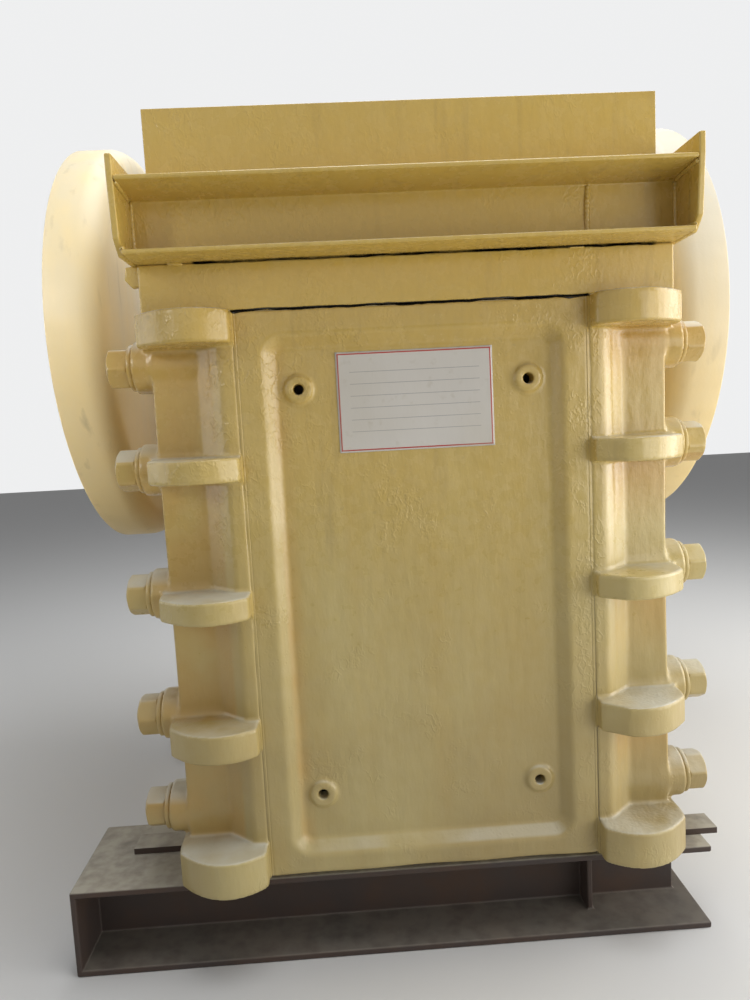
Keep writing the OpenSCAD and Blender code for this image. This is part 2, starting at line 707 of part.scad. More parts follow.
/* Tension rods that hold the swing jaw against the toggle, with their springs */
rod_front_y = seat_foot_y + lug_in + rod_in;
spring_washer_r = spring_r + spring_wire_r + 3;
spring_y = rear_y + rear_t + washer_t;
rod_end_y = spring_y + spring_l + 2 * washer_t + nut_h;
module tension_rods() color(STEEL) place() for (x = [-1, 1]) {
    bar_y(rod_front_y, rod_end_y, rod_r, x * rod_x, rod_z);
    for (y = [rear_y + rear_t, spring_y + spring_l])
        bar_y(y, y + washer_t, spring_washer_r, x * rod_x, rod_z);
    translate([x * rod_x, spring_y + spring_l + washer_t, rod_z]) rotate([-90, 0, 0])
        cylinder(h = nut_h * 0.7, r = rod_r * 1.8, $fn = 6);
}
// The wire's tube along a helix round Y, as rings of points
module tension_spring() {
    per_turn = 12;
    sides = 6;
    n = spring_turns * per_turn;
    rise = spring_l - 2 * spring_wire_r;
    points = [for (i = [0:n], j = [0:sides - 1])
        let (a = i * 360 / per_turn, b = j * 360 / sides, r = spring_r + spring_wire_r * cos(b))
        [r * cos(a), spring_wire_r + rise * i / n + spring_wire_r * sin(b), r * sin(a)]];
    faces = [[for (j = [0:sides - 1]) j],
        for (i = [0:n - 1], j = [0:sides - 1]) let (k = (j + 1) % sides)
            [i * sides + j, (i + 1) * sides + j, (i + 1) * sides + k, i * sides + k],
        [for (j = [sides - 1:-1:0]) n * sides + j]];
    polyhedron(points, faces);
}
module tension_springs() color(STEEL) place() for (x = [-1, 1])
    translate([x * rod_x, spring_y, rod_z]) tension_spring();

/* Eccentric shaft, flywheels and their end discs */
wheel_out = wheel_span / 2;
wheel_in = wheel_out - wheel_w;
hub_out = wheel_out - hub_back;
shaft_step_out = 8;
eccentric_in = 4;
journal_in = 26;
shaft_step = inner_x + housing_l + housing_flange_t + shaft_step_out;
module eccentric_shaft() color(STEEL) place() {
    eccentric_half = pitman_half - eccentric_in;
    bar_x(-eccentric_half, eccentric_half, eccentric_r, shaft_y, shaft_z - throw);
    both_sides() {
        bar_x(eccentric_half - journal_in, shaft_step, journal_r, shaft_y, shaft_z);
        bar_x(shaft_step - cut, hub_out, seat_r, shaft_y, shaft_z);
    }
}
// Half section of a flywheel: first value is the radius, second the distance from the inner face
module wheel_section() difference() {
    union() {
        translate([seat_r, 0]) square([wheel_r - wheel_round - seat_r, wheel_w]);
        translate([wheel_r - wheel_round - cut, wheel_round])
            square([wheel_round + cut, wheel_w - wheel_round]);
        translate([wheel_r - wheel_round, wheel_round]) circle(wheel_round);
        translate([seat_r, -hub_in]) square([wheel_hub_r - seat_r, hub_in + cut]);
    }
    translate([wheel_hub_r, web_t]) square([wheel_r - rim_t - wheel_hub_r, wheel_w]);
    translate([seat_r - cut, wheel_w - hub_back]) square([wheel_hub_r - seat_r + 2 * cut, wheel_w]);
}
module flywheel() color(CREAM) place() difference() {
    translate([wheel_in, shaft_y, shaft_z]) rotate([0, 90, 0]) rotate_extrude($fn = 120) wheel_section();
    for (a = [45:90:315]) {
        mid_r = (wheel_hub_r + wheel_r - rim_t) / 2;
        bar_x(wheel_in - cut, wheel_out, web_hole_r, shaft_y + mid_r * cos(a), shaft_z + mid_r * sin(a));
    }
}
module left_flywheel() mirror([1, 0, 0]) flywheel();
module right_flywheel() flywheel();
end_disc_t = 16;
end_disc_over = 32;
end_screw_r = 11;
end_screw_h = 10;
module shaft_end_discs() color(CREAM) place() both_sides() {
    screw_ring = seat_r - end_screw_r;
    bar_x(hub_out, hub_out + end_disc_t, seat_r + end_disc_over, shaft_y, shaft_z);
    for (a = [30:60:330]) bar_x(hub_out + end_disc_t - cut, hub_out + end_disc_t + end_screw_h,
        end_screw_r, shaft_y + screw_ring * cos(a), shaft_z + screw_ring * sin(a));
}

/* Main bearings: housings in the saddles, with bolted caps */
module bearing() color(CREAM) place() difference() {
    union() {
        bar_x(inner_x, inner_x + housing_l, housing_r, shaft_y, shaft_z);
        bar_x(inner_x + housing_l, inner_x + housing_l + housing_flange_t, housing_flange_r,
            shaft_y, shaft_z);
    }
    bar_x(inner_x - cut, inner_x + housing_l + housing_flange_t + cut, journal_r + run_clear,
        shaft_y, shaft_z);
}
module left_bearing() mirror([1, 0, 0]) bearing();
module right_bearing() bearing();
module bearing_cap() color(CREAM) place() difference() {
    union() {
        side_view(inner_x, inner_x + housing_l) intersection() {
            union() {
                translate([shaft_y, shaft_z]) circle(saddle_r);
                translate([shaft_y - saddle_r - cap_foot_l, shaft_z])
                    square([2 * (saddle_r + cap_foot_l), cap_foot_t]);
            }
            translate([shaft_y - 2 * saddle_r, shaft_z]) square(4 * saddle_r);
        }
    }
    bar_x(inner_x - cut, inner_x + housing_l + cut, housing_r, shaft_y, shaft_z);
}
module left_bearing_cap() mirror([1, 0, 0]) bearing_cap();
module right_bearing_cap() bearing_cap();

/* Base: two rolled beams on the ground and packing plates on them */
module beam(y0) color(BEAM) place() {
    web_end = beam_right - flange_past;
    low = -base_h;
    for (z = [low, -pack_t - flange_t]) translate([-beam_left, y0, z])
        cube([beam_left + beam_right, beam_w, flange_t]);
    translate([-beam_left, y0 + (beam_w - beam_web_t) / 2, low + flange_t - cut])
        cube([beam_left + web_end, beam_web_t, beam_h - 2 * flange_t + 2 * cut]);
    for (at = [[-beam_left, 0], [inner_x, stiffener_in]])
        translate([at[0], y0 + at[1], low + flange_t - cut])
            cube([beam_web_t, beam_w - 2 * at[1], beam_h - 2 * flange_t + 2 * cut]);
}
module base_front_beam() beam(beam_front_y);
module base_rear_beam() beam(frame_len - beam_rear_back);
module packing_plates() color(BEAM) place() for (y = [beam_front_y, frame_len - beam_rear_back]) {
    translate([-column_x - pack_left_out, y + pack_left_y, -pack_t])
        cube([column_x + pack_left_out - inner_x, pack_w, pack_t]);
    translate([inner_x, y + pack_right_y, -pack_t])
        cube([column_x + pack_right_out - inner_x, pack_w, pack_t]);
}

front_frame();
left_side_frame();
right_side_frame();
rear_frame();
left_front_bolts();
right_front_bolts();
rear_bolts();
front_lintel();
left_sill();
right_sill();
collar_front();
collar_left();
collar_right();
collar_rear();
skirt_front();
skirt_left();
skirt_right();
skirt_rear();
fixed_jaw();
swing_jaw_plate();
jaw_wedge();
left_upper_cheek();
left_lower_cheek();
right_upper_cheek();
right_lower_cheek();
pitman();
barrel_rings();
eccentric_shaft();
left_flywheel();
right_flywheel();
shaft_end_discs();
left_bearing();
right_bearing();
left_bearing_cap();
right_bearing_cap();
toggle_plate();
front_toggle_seat();
rear_toggle_seat();
toggle_block();
setting_shims();
tension_rods();
tension_springs();
base_front_beam();
base_rear_beam();
packing_plates();
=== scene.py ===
import json
import math

import bpy
import bmesh
import numpy as np
from mathutils import Matrix, Vector


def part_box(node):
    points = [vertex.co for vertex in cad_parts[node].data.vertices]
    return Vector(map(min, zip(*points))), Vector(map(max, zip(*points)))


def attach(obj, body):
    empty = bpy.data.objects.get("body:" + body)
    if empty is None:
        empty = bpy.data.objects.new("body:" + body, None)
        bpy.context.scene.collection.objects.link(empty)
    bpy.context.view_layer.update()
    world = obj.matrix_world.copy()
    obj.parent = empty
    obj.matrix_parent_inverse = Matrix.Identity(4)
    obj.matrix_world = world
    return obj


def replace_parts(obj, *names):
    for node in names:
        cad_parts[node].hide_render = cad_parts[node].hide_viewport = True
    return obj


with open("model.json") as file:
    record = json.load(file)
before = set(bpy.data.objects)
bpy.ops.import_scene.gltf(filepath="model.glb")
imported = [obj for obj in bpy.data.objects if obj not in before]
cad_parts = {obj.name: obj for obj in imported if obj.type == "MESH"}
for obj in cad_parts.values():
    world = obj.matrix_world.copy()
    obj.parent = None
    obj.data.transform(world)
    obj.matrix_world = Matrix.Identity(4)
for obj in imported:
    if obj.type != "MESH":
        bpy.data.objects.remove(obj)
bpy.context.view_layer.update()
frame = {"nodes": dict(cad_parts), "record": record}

# Where the machine stands in the picture: the camera is at chest height, close in front
# of the panel, with a wide lens, a little tilt to the right and the wheels far behind the panel.
panel_lo, panel_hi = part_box("front_frame")
face_y, foot_z = panel_lo.y, panel_lo.z
camera_place = Vector((-0.1398, face_y - 1.400, foot_z + 0.9093))
camera_yaw, camera_pitch, camera_roll = 0.0371, -0.1057, -0.0522
lens_mm = 26.1
look = Vector((math.sin(camera_yaw) * math.cos(camera_pitch),
               math.cos(camera_yaw) * math.cos(camera_pitch), math.sin(camera_pitch)))
level = Vector((math.cos(camera_yaw), -math.sin(camera_yaw), 0))
side = level * math.cos(camera_roll) + level.cross(look) * math.sin(camera_roll)
camera = bpy.data.objects.new("camera", bpy.data.cameras.new("camera"))
camera.data.lens = lens_mm
camera.matrix_world = Matrix.Translation(camera_place) @ Matrix(
    (side, side.cross(look), -look)).transposed().to_4x4()
bpy.context.scene.collection.objects.link(camera)
bpy.context.scene.camera = camera
bpy.context.scene.view_settings.view_transform = "Standard"


# The studio: soft lamp panels above, at both sides and low in front, a pale world that is bright
# only where the camera or a gloss sees it, and a plain pale floor.
def put(tree, kind, settings=None, **inputs):
    """Adds a node of that kind. Inputs are sockets to link from or plain values, by socket name."""
    made = tree.nodes.new(kind)
    for key, value in (settings or {}).items():
        setattr(made, key, value)
    for key, value in inputs.items():
        socket = made.inputs[int(key[1:]) if key[0] == "_" else key.replace("_", " ")]
        if isinstance(value, bpy.types.NodeSocket):
            tree.links.new(value, socket)
        else:
            socket.default_value = value
    return made


def softbox(name, place, aim, width, height, watts, tint):
    """A lamp panel of that width and height at place, turned to shine at aim."""
    lamp = bpy.data.objects.new(name, bpy.data.lights.new(name, "AREA"))
    lamp.data.shape = "RECTANGLE"
    lamp.data.size, lamp.data.size_y = width, height
    lamp.data.energy, lamp.data.color = watts, tint
    lamp.location = place
    lamp.rotation_mode = "QUATERNION"
    lamp.rotation_quaternion = (Vector(aim) - Vector(place)).to_track_quat("-Z", "Y")
    bpy.context.scene.collection.objects.link(lamp)


softbox("high_light", (0.4, -0.1, 4.6), (0, -0.1, 0.8), 4.4, 2.6, 166, (0.96, 0.98, 1.0))
softbox("right_light", (3.4, -0.9, 1.75), (0.3, -0.1, 1.0), 2.8, 3.2, 102, (1.0, 0.985, 0.97))
softbox("left_light", (-3.6, -0.9, 1.75), (-0.3, -0.1, 1.0), 2.2, 3.0, 22, (0.98, 0.99, 1.0))
softbox("near_light", (1.9, -2.6, 1.05), (0.50, -0.7, 0.85), 1.5, 1.5, 18, (1.0, 0.985, 0.96))
softbox("low_light", (3.1, -1.5, 0.45), (0.1, -0.7, 0.7), 2.6, 0.9, 9, (1.0, 0.97, 0.90))
softbox("wheel_light", (-2.2, -2.4, 2.2), (-0.8, 0.3, 1.20), 0.9, 0.9, 3.2, (1.0, 0.985, 0.95))
bpy.data.lights["wheel_light"].spread = math.radians(38)
softbox("front_light", (-0.8, -4.6, 2.6), (0, 0, 0.9), 3.2, 2.2, 4, (1.0, 0.98, 0.95))

world = bpy.data.worlds.new("studio")
bpy.context.scene.world = world
world.use_nodes = True
world.node_tree.nodes.clear()
path = put(world.node_tree, "ShaderNodeLightPath")
seen = put(world.node_tree, "ShaderNodeMath", {"operation": "MAXIMUM"},
           _0=path.outputs["Is Camera Ray"], _1=path.outputs["Is Glossy Ray"])
dim = put(world.node_tree, "ShaderNodeBackground", Color=(0.95, 0.96, 1.0, 1), Strength=0.155)
pale = put(world.node_tree, "ShaderNodeBackground", Color=(0.86, 0.865, 0.87, 1), Strength=1.0)
both = put(world.node_tree, "ShaderNodeMixShader", _0=seen.outputs[0], _1=dim.outputs[0], _2=pale.outputs[0])
put(world.node_tree, "ShaderNodeOutputWorld", Surface=both.outputs[0])

floor_half = 14.0
floor = bpy.data.objects.new("floor", bpy.data.meshes.new("floor"))
floor.data.from_pydata([(-floor_half, -floor_half, 0), (floor_half, -floor_half, 0),
                        (floor_half, floor_half, 0), (-floor_half, floor_half, 0)], [], [(0, 1, 2, 3)])
bpy.context.scene.collection.objects.link(floor)
floor_paint = bpy.data.materials.new("pale_floor")
floor_paint.use_nodes = True
floor_shader = floor_paint.node_tree.nodes["Principled BSDF"]
floor_shader.inputs["Base Color"].default_value = (0.66, 0.655, 0.64, 1)
floor_shader.inputs["Roughness"].default_value = 0.8
floor.data.materials.append(floor_paint)


# The paint: one thick cream enamel, brushed over bare castings and rolled steel alike. It fills the
# corners, keeps the brush's upright strokes, runs in drips, and yellows where it lies thick. Between
# two heights it also slides to the deep ochre: painted shade on the frame, darker towards its top.
def mix(tree, share, low, high):
    """Colour that goes from low to high as share goes from 0 to 1."""
    return put(tree, "ShaderNodeMix", {"data_type": "RGBA"}, _0=share, _6=low, _7=high).outputs[2]


def calc(tree, operation, *values):
    """Result of one sum on numbers or sockets."""
    return put(tree, "ShaderNodeMath", {"operation": operation},
               **{f"_{i}": value for i, value in enumerate(values)}).outputs[0]


def times(tree, *values):
    """Product of several numbers or sockets."""
    made = values[0]
    for value in values[1:]:
        made = calc(tree, "MULTIPLY", made, value)
    return made


def span(tree, value, low, high, to_low=0.0, to_high=1.0):
    """Value mapped from low..high to to_low..to_high, and held at the ends."""
    return put(tree, "ShaderNodeMapRange", Value=value, **{
        "From_Min": low, "From_Max": high, "To_Min": to_low, "To_Max": to_high}).outputs[0]


def grain(tree, place, scale, detail=3.0, stretch=(1, 1, 1), kind="ShaderNodeTexNoise"):
    """Noise of that scale per metre on the object's own coordinates, stretched along its axes."""
    at = put(tree, "ShaderNodeMapping", Vector=place, Scale=stretch).outputs[0]
    if kind == "ShaderNodeTexNoise":
        return put(tree, kind, Vector=at, Scale=scale, Detail=detail).outputs[0]
    return put(tree, kind, Vector=at, Scale=scale).outputs[0]


def new_group(name, colours, numbers, outs):
    """An empty node group with those colour and number inputs and outputs."""
    group = bpy.data.node_groups.new(name, "ShaderNodeTree")
    for title, value in colours.items():
        group.interface.new_socket(title, in_out="INPUT", socket_type="NodeSocketColor").default_value = value
    for title, value in numbers.items():
        group.interface.new_socket(title, in_out="INPUT", socket_type="NodeSocketFloat").default_value = value
    for title, kind in outs.items():
        group.interface.new_socket(title, in_out="OUTPUT", socket_type=kind)
    return group, put(group, "NodeGroupInput"), put(group, "NodeGroupOutput")


# The pale colour of dust on upward faces. On the castings it also paints the tops of the lugs and ribs paler,
# a painted highlight of the light from above.
DUST = (0.63, 0.625, 0.545, 1)

rib_ts = (0.074, 0.059, 0.046, 0.046, 0.061)
rib_step = (panel_hi.z - panel_lo.z - rib_ts[0] / 2 - rib_ts[4] / 2) / 4

enamel, given, result = new_group(
    "brushed_enamel",
    {"Paint": (0.5, 0.4, 0.2, 1), "Thick": (0.4, 0.28, 0.1, 1),
     "Grime and shade": (0.16, 0.115, 0.06, 1), "Dust": DUST},
    {"Dust on top": 0.5, "Strokes": 1.0, "Casting": 1.0, "Gloss": 0.24, "Tint": 0.9,
     "Tint from": foot_z + 0.55, "Tint to": foot_z + 1.15, "Joints": 1.0},
    {"Color": "NodeSocketColor", "Roughness": "NodeSocketFloat", "Normal": "NodeSocketVector"})
place = put(enamel, "ShaderNodeTexCoord").outputs["Object"]
facing = put(enamel, "ShaderNodeSeparateXYZ",
             Vector=put(enamel, "ShaderNodeNewGeometry").outputs["Normal"]).outputs[2]
across, depth, height = put(enamel, "ShaderNodeSeparateXYZ", Vector=place).outputs
cloud = span(enamel, grain(enamel, place, 1.9, 4.0), 0.36, 0.66)
runs = span(enamel, grain(enamel, place, 2.6, 5.0, (6, 6, 0.7)), 0.42, 0.72)
mottle = grain(enamel, place, 38.0, 4.0)
# Painted light by height: between the two Tint heights the colour slides to the deep ochre. On the frame this
# is painted shade towards the top.
painted_light_by_height = times(enamel, span(enamel, height, given.outputs["Tint from"], given.outputs["Tint to"]),
               given.outputs["Tint"])
tone = mix(enamel, times(enamel, cloud, 0.45), given.outputs["Paint"], given.outputs["Thick"])
tone = mix(enamel, times(enamel, runs, 0.3), tone, given.outputs["Thick"])
tone = mix(enamel, painted_light_by_height, tone, given.outputs["Thick"])
tone = mix(enamel, span(enamel, mottle, 0.35, 0.75, 0.0, 0.08), tone, (0.72, 0.66, 0.50, 1))

# Spots and streaks of grime where water has run, and a darker brown towards the foot of the machine,
# which is painted shade.
spots = span(enamel, grain(enamel, place, 48.0, 2.0), 0.70, 0.78, 0.0, 0.22)
streaks = span(enamel, grain(enamel, place, 3.0, 4.0, (9, 9, 0.9)), 0.60, 0.80, 0.0, 0.35)
# Painted shade: the colour darkens towards the foot.
low = span(enamel, height, foot_z + 0.80, foot_z - 0.05, 0.0, 0.60)
grime_and_low_shade = calc(enamel, "MAXIMUM", times(enamel, spots, given.outputs["Casting"]),
            calc(enamel, "MAXIMUM", streaks, low))
tone = mix(enamel, times(enamel, grime_and_low_shade, span(enamel, cloud, 0.0, 0.7, 0.55, 1.0)), tone,
           given.outputs["Grime and shade"])

# Under each lug, on the column, the paint turns warm ochre, strongest just below the lug. The same
# ochre lies, as painted shadow, on all that stands back from the face left of the tray's left edge.
aside = calc(enamel, "ABSOLUTE", across)
top_rib_z = foot_z + rib_ts[0] / 2 + 4 * rib_step
under = calc(enamel, "DIVIDE", calc(enamel, "SUBTRACT", top_rib_z - 0.02, height), rib_step)
under = calc(enamel, "FRACT", under)
column = times(enamel, span(enamel, aside, panel_hi.x + 0.012, panel_hi.x + 0.045),
               span(enamel, depth, face_y + 0.002, face_y + 0.02),
               span(enamel, depth, face_y + 0.1, face_y + 0.07))
# Painted shadow: left of the tray's left edge, on everything set back from the face.
left_painted_shadow = times(enamel, span(enamel, across, -0.238, -0.262),
             span(enamel, depth, face_y + 0.012, face_y + 0.019))
warm = calc(enamel, "MAXIMUM", times(enamel, span(enamel, under, 0.55, 0.1), column),
            times(enamel, left_painted_shadow, 0.8))
warm = times(enamel, warm, span(enamel, grain(enamel, place, 8.0, 3.0), 0.25, 0.6))
warm = times(enamel, warm, given.outputs["Joints"], 0.65)
tone = mix(enamel, warm, tone, (0.50, 0.29, 0.065, 1))
# Dust on upward faces, which on the castings is also a painted highlight of the light from above.
lying = span(enamel, facing, 0.45, 0.95)
patches = span(enamel, grain(enamel, place, 7.0, 5.0), 0.30, 0.62)
dusty = times(enamel, lying, patches, given.outputs["Dust on top"],
              span(enamel, height, foot_z + 1.12, foot_z + 1.2, 1.0, 0.6))
tone = mix(enamel, dusty, tone, given.outputs["Dust"])

# The open joints on the front: over the panel, under the collar, and beside the panel. Their dark
# gap wanders and widens, because it is a cast edge against a torch-cut one.
collar_joint_z = foot_z + 1.222
panel_gap, collar_gap, side_gap, edge_fade = 0.0030, 0.0018, 0.0005, 0.0008
wander = grain(enamel, place, 14.0, 4.0)
broken = span(enamel, grain(enamel, place, 9.0, 2.0), 0.40, 0.50)
in_panel = span(enamel, aside, panel_hi.x + 0.002, panel_hi.x)
in_collar = times(enamel, span(enamel, across, -0.408, -0.402), span(enamel, across, 0.475, 0.465),
                  span(enamel, broken, 0.0, 1.0, 0.6, 1.0))
lower_right = times(enamel, span(enamel, across, 0.3, 0.34),
                    span(enamel, height, foot_z + 0.5, foot_z + 0.3, 0.0, 0.6))
beside = times(enamel, span(enamel, height, panel_hi.z, panel_hi.z - 0.002),
               calc(enamel, "MAXIMUM", lower_right, times(enamel, broken, 0.22)))
dark = None
for line, wide, where in (
        (calc(enamel, "SUBTRACT", height, panel_hi.z), panel_gap, in_panel),
        (calc(enamel, "SUBTRACT", height, collar_joint_z), collar_gap, in_collar),
        (calc(enamel, "SUBTRACT", aside, panel_hi.x), side_gap, beside)):
    off = calc(enamel, "ABSOLUTE", calc(enamel, "ADD", line, span(enamel, wander, 0.3, 0.7, -wide, wide)))
    width = span(enamel, wander, 0.35, 0.65, wide * 0.35, wide)
    gap = span(enamel, calc(enamel, "SUBTRACT", off, width), 0.0, edge_fade, 1.0, 0.0)
    gap = times(enamel, gap, where)
    dark = gap if dark is None else calc(enamel, "MAXIMUM", dark, gap)
ahead = times(enamel, span(enamel, depth, face_y + 0.03, face_y + 0.02),
              span(enamel, depth, face_y - 0.01, face_y - 0.006))
dark = times(enamel, dark, ahead, given.outputs["Joints"])
tone = mix(enamel, dark, tone, (0.010, 0.008, 0.006, 1))
sheen = calc(enamel, "ADD", given.outputs["Gloss"], span(enamel, mottle, 0.3, 0.8, -0.05, 0.12))
sheen = calc(enamel, "ADD", sheen, times(enamel, calc(enamel, "MAXIMUM", dusty, grime_and_low_shade), 0.35))

# One height in metres: slow lumps, brush strokes that run upright, wrinkles like worms where the
# paint dried thick, clusters of small rings left by the sand, and an orange-peel skin on it all.
lumps = times(enamel, grain(enamel, place, 11.0, 2.0), 0.0036)
strokes = times(enamel, grain(enamel, place, 30.0, 3.0, (1.5, 1.5, 0.45)), 0.0017)
crease = calc(enamel, "ABSOLUTE", calc(enamel, "SUBTRACT", grain(enamel, place, 55.0, 2.0, (1, 1, 0.7)), 0.5))
upper_left = times(enamel, span(enamel, across, -0.12, -0.19),
                   span(enamel, height, foot_z + 0.62, foot_z + 0.86))
right_edge = times(enamel, span(enamel, across, 0.285, 0.3), span(enamel, across, 0.37, 0.355))
thick = times(enamel, calc(enamel, "MAXIMUM", upper_left, right_edge),
              span(enamel, grain(enamel, place, 16.0, 2.0), 0.44, 0.56))
thick = calc(enamel, "MAXIMUM", thick, span(enamel, grain(enamel, place, 9.0, 2.0), 0.56, 0.66))
worms = times(enamel, span(enamel, crease, 0.0, 0.07, 0.0006, 0.0), thick,
              span(enamel, depth, face_y + 0.035, face_y + 0.025))
cell = grain(enamel, place, 75.0, kind="ShaderNodeTexVoronoi")
ring = calc(enamel, "SUBTRACT", span(enamel, cell, 0.10, 0.26), span(enamel, cell, 0.28, 0.46, 0.0, 0.55))
rings = times(enamel, ring, 0.0003, span(enamel, grain(enamel, place, 7.5, 1.0), 0.55, 0.62))
rough_lugs = times(enamel, span(enamel, across, 0.34, 0.38), lying,
                   span(enamel, height, foot_z + 0.55, foot_z + 0.4, 0.00015, 0.0011))
peel = times(enamel, grain(enamel, place, 150.0, 2.0), calc(enamel, "ADD", rough_lugs, 0.00022))
body = times(enamel, calc(enamel, "ADD", strokes, worms), given.outputs["Strokes"])
sandy = times(enamel, calc(enamel, "ADD", rings, lumps), given.outputs["Casting"])
body = calc(enamel, "ADD", body, sandy)
body = calc(enamel, "SUBTRACT", calc(enamel, "ADD", body, peel), times(enamel, dark, 0.0015))
bumps = put(enamel, "ShaderNodeBump", Strength=0.9, Distance=1.0, Height=body).outputs[0]
for title, socket in (("Color", tone), ("Roughness", sheen), ("Normal", bumps)):
    enamel.links.new(socket, result.inputs[title])


def finish_of(name, group, coat=0.0, metal=0.0, **values):
    """A material whose colour, roughness and normal come from a group with its own values."""
    made = bpy.data.materials.new(name)
    made.use_nodes = True
    tree = made.node_tree
    shader = tree.nodes["Principled BSDF"]
    look_of = put(tree, "ShaderNodeGroup", {"node_tree": group}, **values)
    for title, socket in (("Base Color", "Color"), ("Roughness", "Roughness"), ("Normal", "Normal")):
        tree.links.new(look_of.outputs[socket], shader.inputs[title])
    shader.inputs["Coat Weight"].default_value = coat
    shader.inputs["Coat Roughness"].default_value = 0.18
    shader.inputs["Metallic"].default_value = metal
    return made


CREAM = (0.600, 0.495, 0.205, 1)
CREAM_THICK = (0.560, 0.370, 0.072, 1)
cast_paint = finish_of("cream_enamel_on_casting", enamel, coat=0.25, Paint=CREAM, Thick=CREAM_THICK,
                       Dust_on_top=0.85)
sheet_paint = finish_of("cream_enamel_on_rolled_steel", enamel, coat=0.25, Paint=(0.62, 0.49, 0.17, 1),
                        Thick=(0.60, 0.405, 0.075, 1), Dust_on_top=0.9, Dust=(0.50, 0.45, 0.34, 1),
                        Casting=0.15, Strokes=0.6)
# Painted light on the wheels: a paler, greyer cream that slides down to yellow ochre towards the bottom.
wheel_paint_with_painted_light = finish_of("cream_enamel_with_painted_light_on_wheels", enamel, coat=0.05, Paint=(0.56, 0.545, 0.485, 1),
                        Thick=(0.86, 0.65, 0.27, 1), Dust_on_top=0.2, Strokes=0.25, Casting=0.08, Gloss=0.55,
                        Tint=0.85, Tint_from=foot_z + 1.55, Tint_to=foot_z + 0.70, Joints=0.0)

# Bare and working steel: the jaw plates of manganese steel, worn bright on their ridges, the oiled
# shaft and rods, and the dark rolled beams under the machine.
ridge_pitch = 0.050
metal, given, result = new_group(
    "worn_steel", {"Bare": (0.3, 0.3, 0.3, 1), "Stain": (0.1, 0.07, 0.05, 1), "Dust": DUST},
    {"Dust on top": 0.4, "Stained": 0.6, "Scale": 30.0, "Rough": 0.45, "Depth": 0.0012,
     "Ridges": 0.0, "Ridge shift": 0.0},
    {"Color": "NodeSocketColor", "Roughness": "NodeSocketFloat", "Normal": "NodeSocketVector"})
place = put(metal, "ShaderNodeTexCoord").outputs["Object"]
across, _, height = put(metal, "ShaderNodeSeparateXYZ", Vector=place).outputs
facing = put(metal, "ShaderNodeSeparateXYZ",
             Vector=put(metal, "ShaderNodeNewGeometry").outputs["Normal"]).outputs[2]
blotch = span(metal, grain(metal, place, 6.0, 6.0), 0.38, 0.62)
speck = put(metal, "ShaderNodeTexNoise", Vector=place, Scale=given.outputs["Scale"], Detail=5.0).outputs[0]
stained = times(metal, blotch, given.outputs["Stained"], span(metal, speck, 0.3, 0.6, 0.5, 1.0))
turn = calc(metal, "ADD", times(metal, across, 1 / ridge_pitch), given.outputs["Ridge shift"])
worn = span(metal, calc(metal, "COSINE", times(metal, turn, math.tau)), 0.45, 0.8)
worn = times(metal, worn, span(metal, speck, 0.2, 0.5), given.outputs["Ridges"])
stained = times(metal, stained, calc(metal, "SUBTRACT", 1.0, worn))
tone = mix(metal, stained, given.outputs["Bare"], given.outputs["Stain"])
tone = mix(metal, worn, tone, (0.42, 0.41, 0.39, 1))
dusty = times(metal, span(metal, facing, 0.35, 0.95), given.outputs["Dust on top"],
              span(metal, speck, 0.25, 0.6, 0.5, 1.0), span(metal, height, 0.05, 0.16, 0.3, 1.0))
tone = mix(metal, dusty, tone, given.outputs["Dust"])
sheen = calc(metal, "ADD", given.outputs["Rough"], times(metal, stained, 0.25))
sheen = calc(metal, "ADD", sheen, times(metal, dusty, 0.25))
bumps = put(metal, "ShaderNodeBump", Strength=0.6, Distance=given.outputs["Depth"], Height=speck).outputs[0]
for title, socket in (("Color", tone), ("Roughness", sheen), ("Normal", bumps)):
    metal.links.new(socket, result.inputs[title])

jaw_steel = finish_of("manganese_steel", metal, metal=0.35, Bare=(0.20, 0.19, 0.175, 1),
                      Stain=(0.085, 0.06, 0.045, 1), Dust_on_top=0.6)
fixed_ridges, swing_ridges = [
    finish_of(f"worn_ridges_{name}", metal, metal=0.45, Bare=(0.20, 0.19, 0.175, 1),
              Stain=(0.085, 0.06, 0.045, 1), Dust_on_top=0.6, Ridges=0.9, Ridge_shift=shift)
    for name, shift in (("fixed", 0.0), ("swing", 0.5))]
bare_steel = finish_of("oiled_steel", metal, metal=0.7, Bare=(0.30, 0.285, 0.26, 1),
                       Stain=(0.10, 0.07, 0.05, 1), Dust_on_top=0.3, Rough=0.38)
beam_steel = finish_of("dark_rolled_steel", metal, Bare=(0.040, 0.028, 0.023, 1),
                       Stain=(0.075, 0.040, 0.022, 1), Dust_on_top=0.95, Rough=0.62,
                       Dust=(0.42, 0.39, 0.32, 1))

SLOT_LOOK = {"cream_paint": cast_paint, "manganese_steel": jaw_steel,
             "machined_steel": bare_steel, "base_steel": beam_steel}
slot_of = {entry["node"]: entry["material_slot"] for entry in frame["record"]["subparts"]}
for name, node in frame["nodes"].items():
    node.data.materials.clear()
    node.data.materials.append(SLOT_LOOK[slot_of[name]])

# The front frame: one iron casting whose face is a shallow tray with soft edges and four bossed
# holes. It was moulded in sand, so its faces are never quite flat and all its edges are round.
def smooth_min(a, b, k):
    """The lower of a and b, blended over a band of k where they meet, as a fillet does."""
    h = np.maximum(k - np.abs(a - b), 0) / k
    return np.minimum(a, b) - h * h * k / 4


def smooth_max(a, b, k):
    """The higher of a and b, blended over a band of k, which rounds an outer edge."""
    return -smooth_min(-a, -b, k)


def slab(v, low, high):
    """Distance outside low..high along one axis, negative inside."""
    return np.abs(v - (low + high) / 2) - (high - low) / 2


def block(x, y, z, low, high, k):
    """Distance to a box from low to high with edges rounded over a band of k."""
    return smooth_max(smooth_max(slab(x, low[0], high[0]), slab(y, low[1], high[1]), k),
                      slab(z, low[2], high[2]), k)


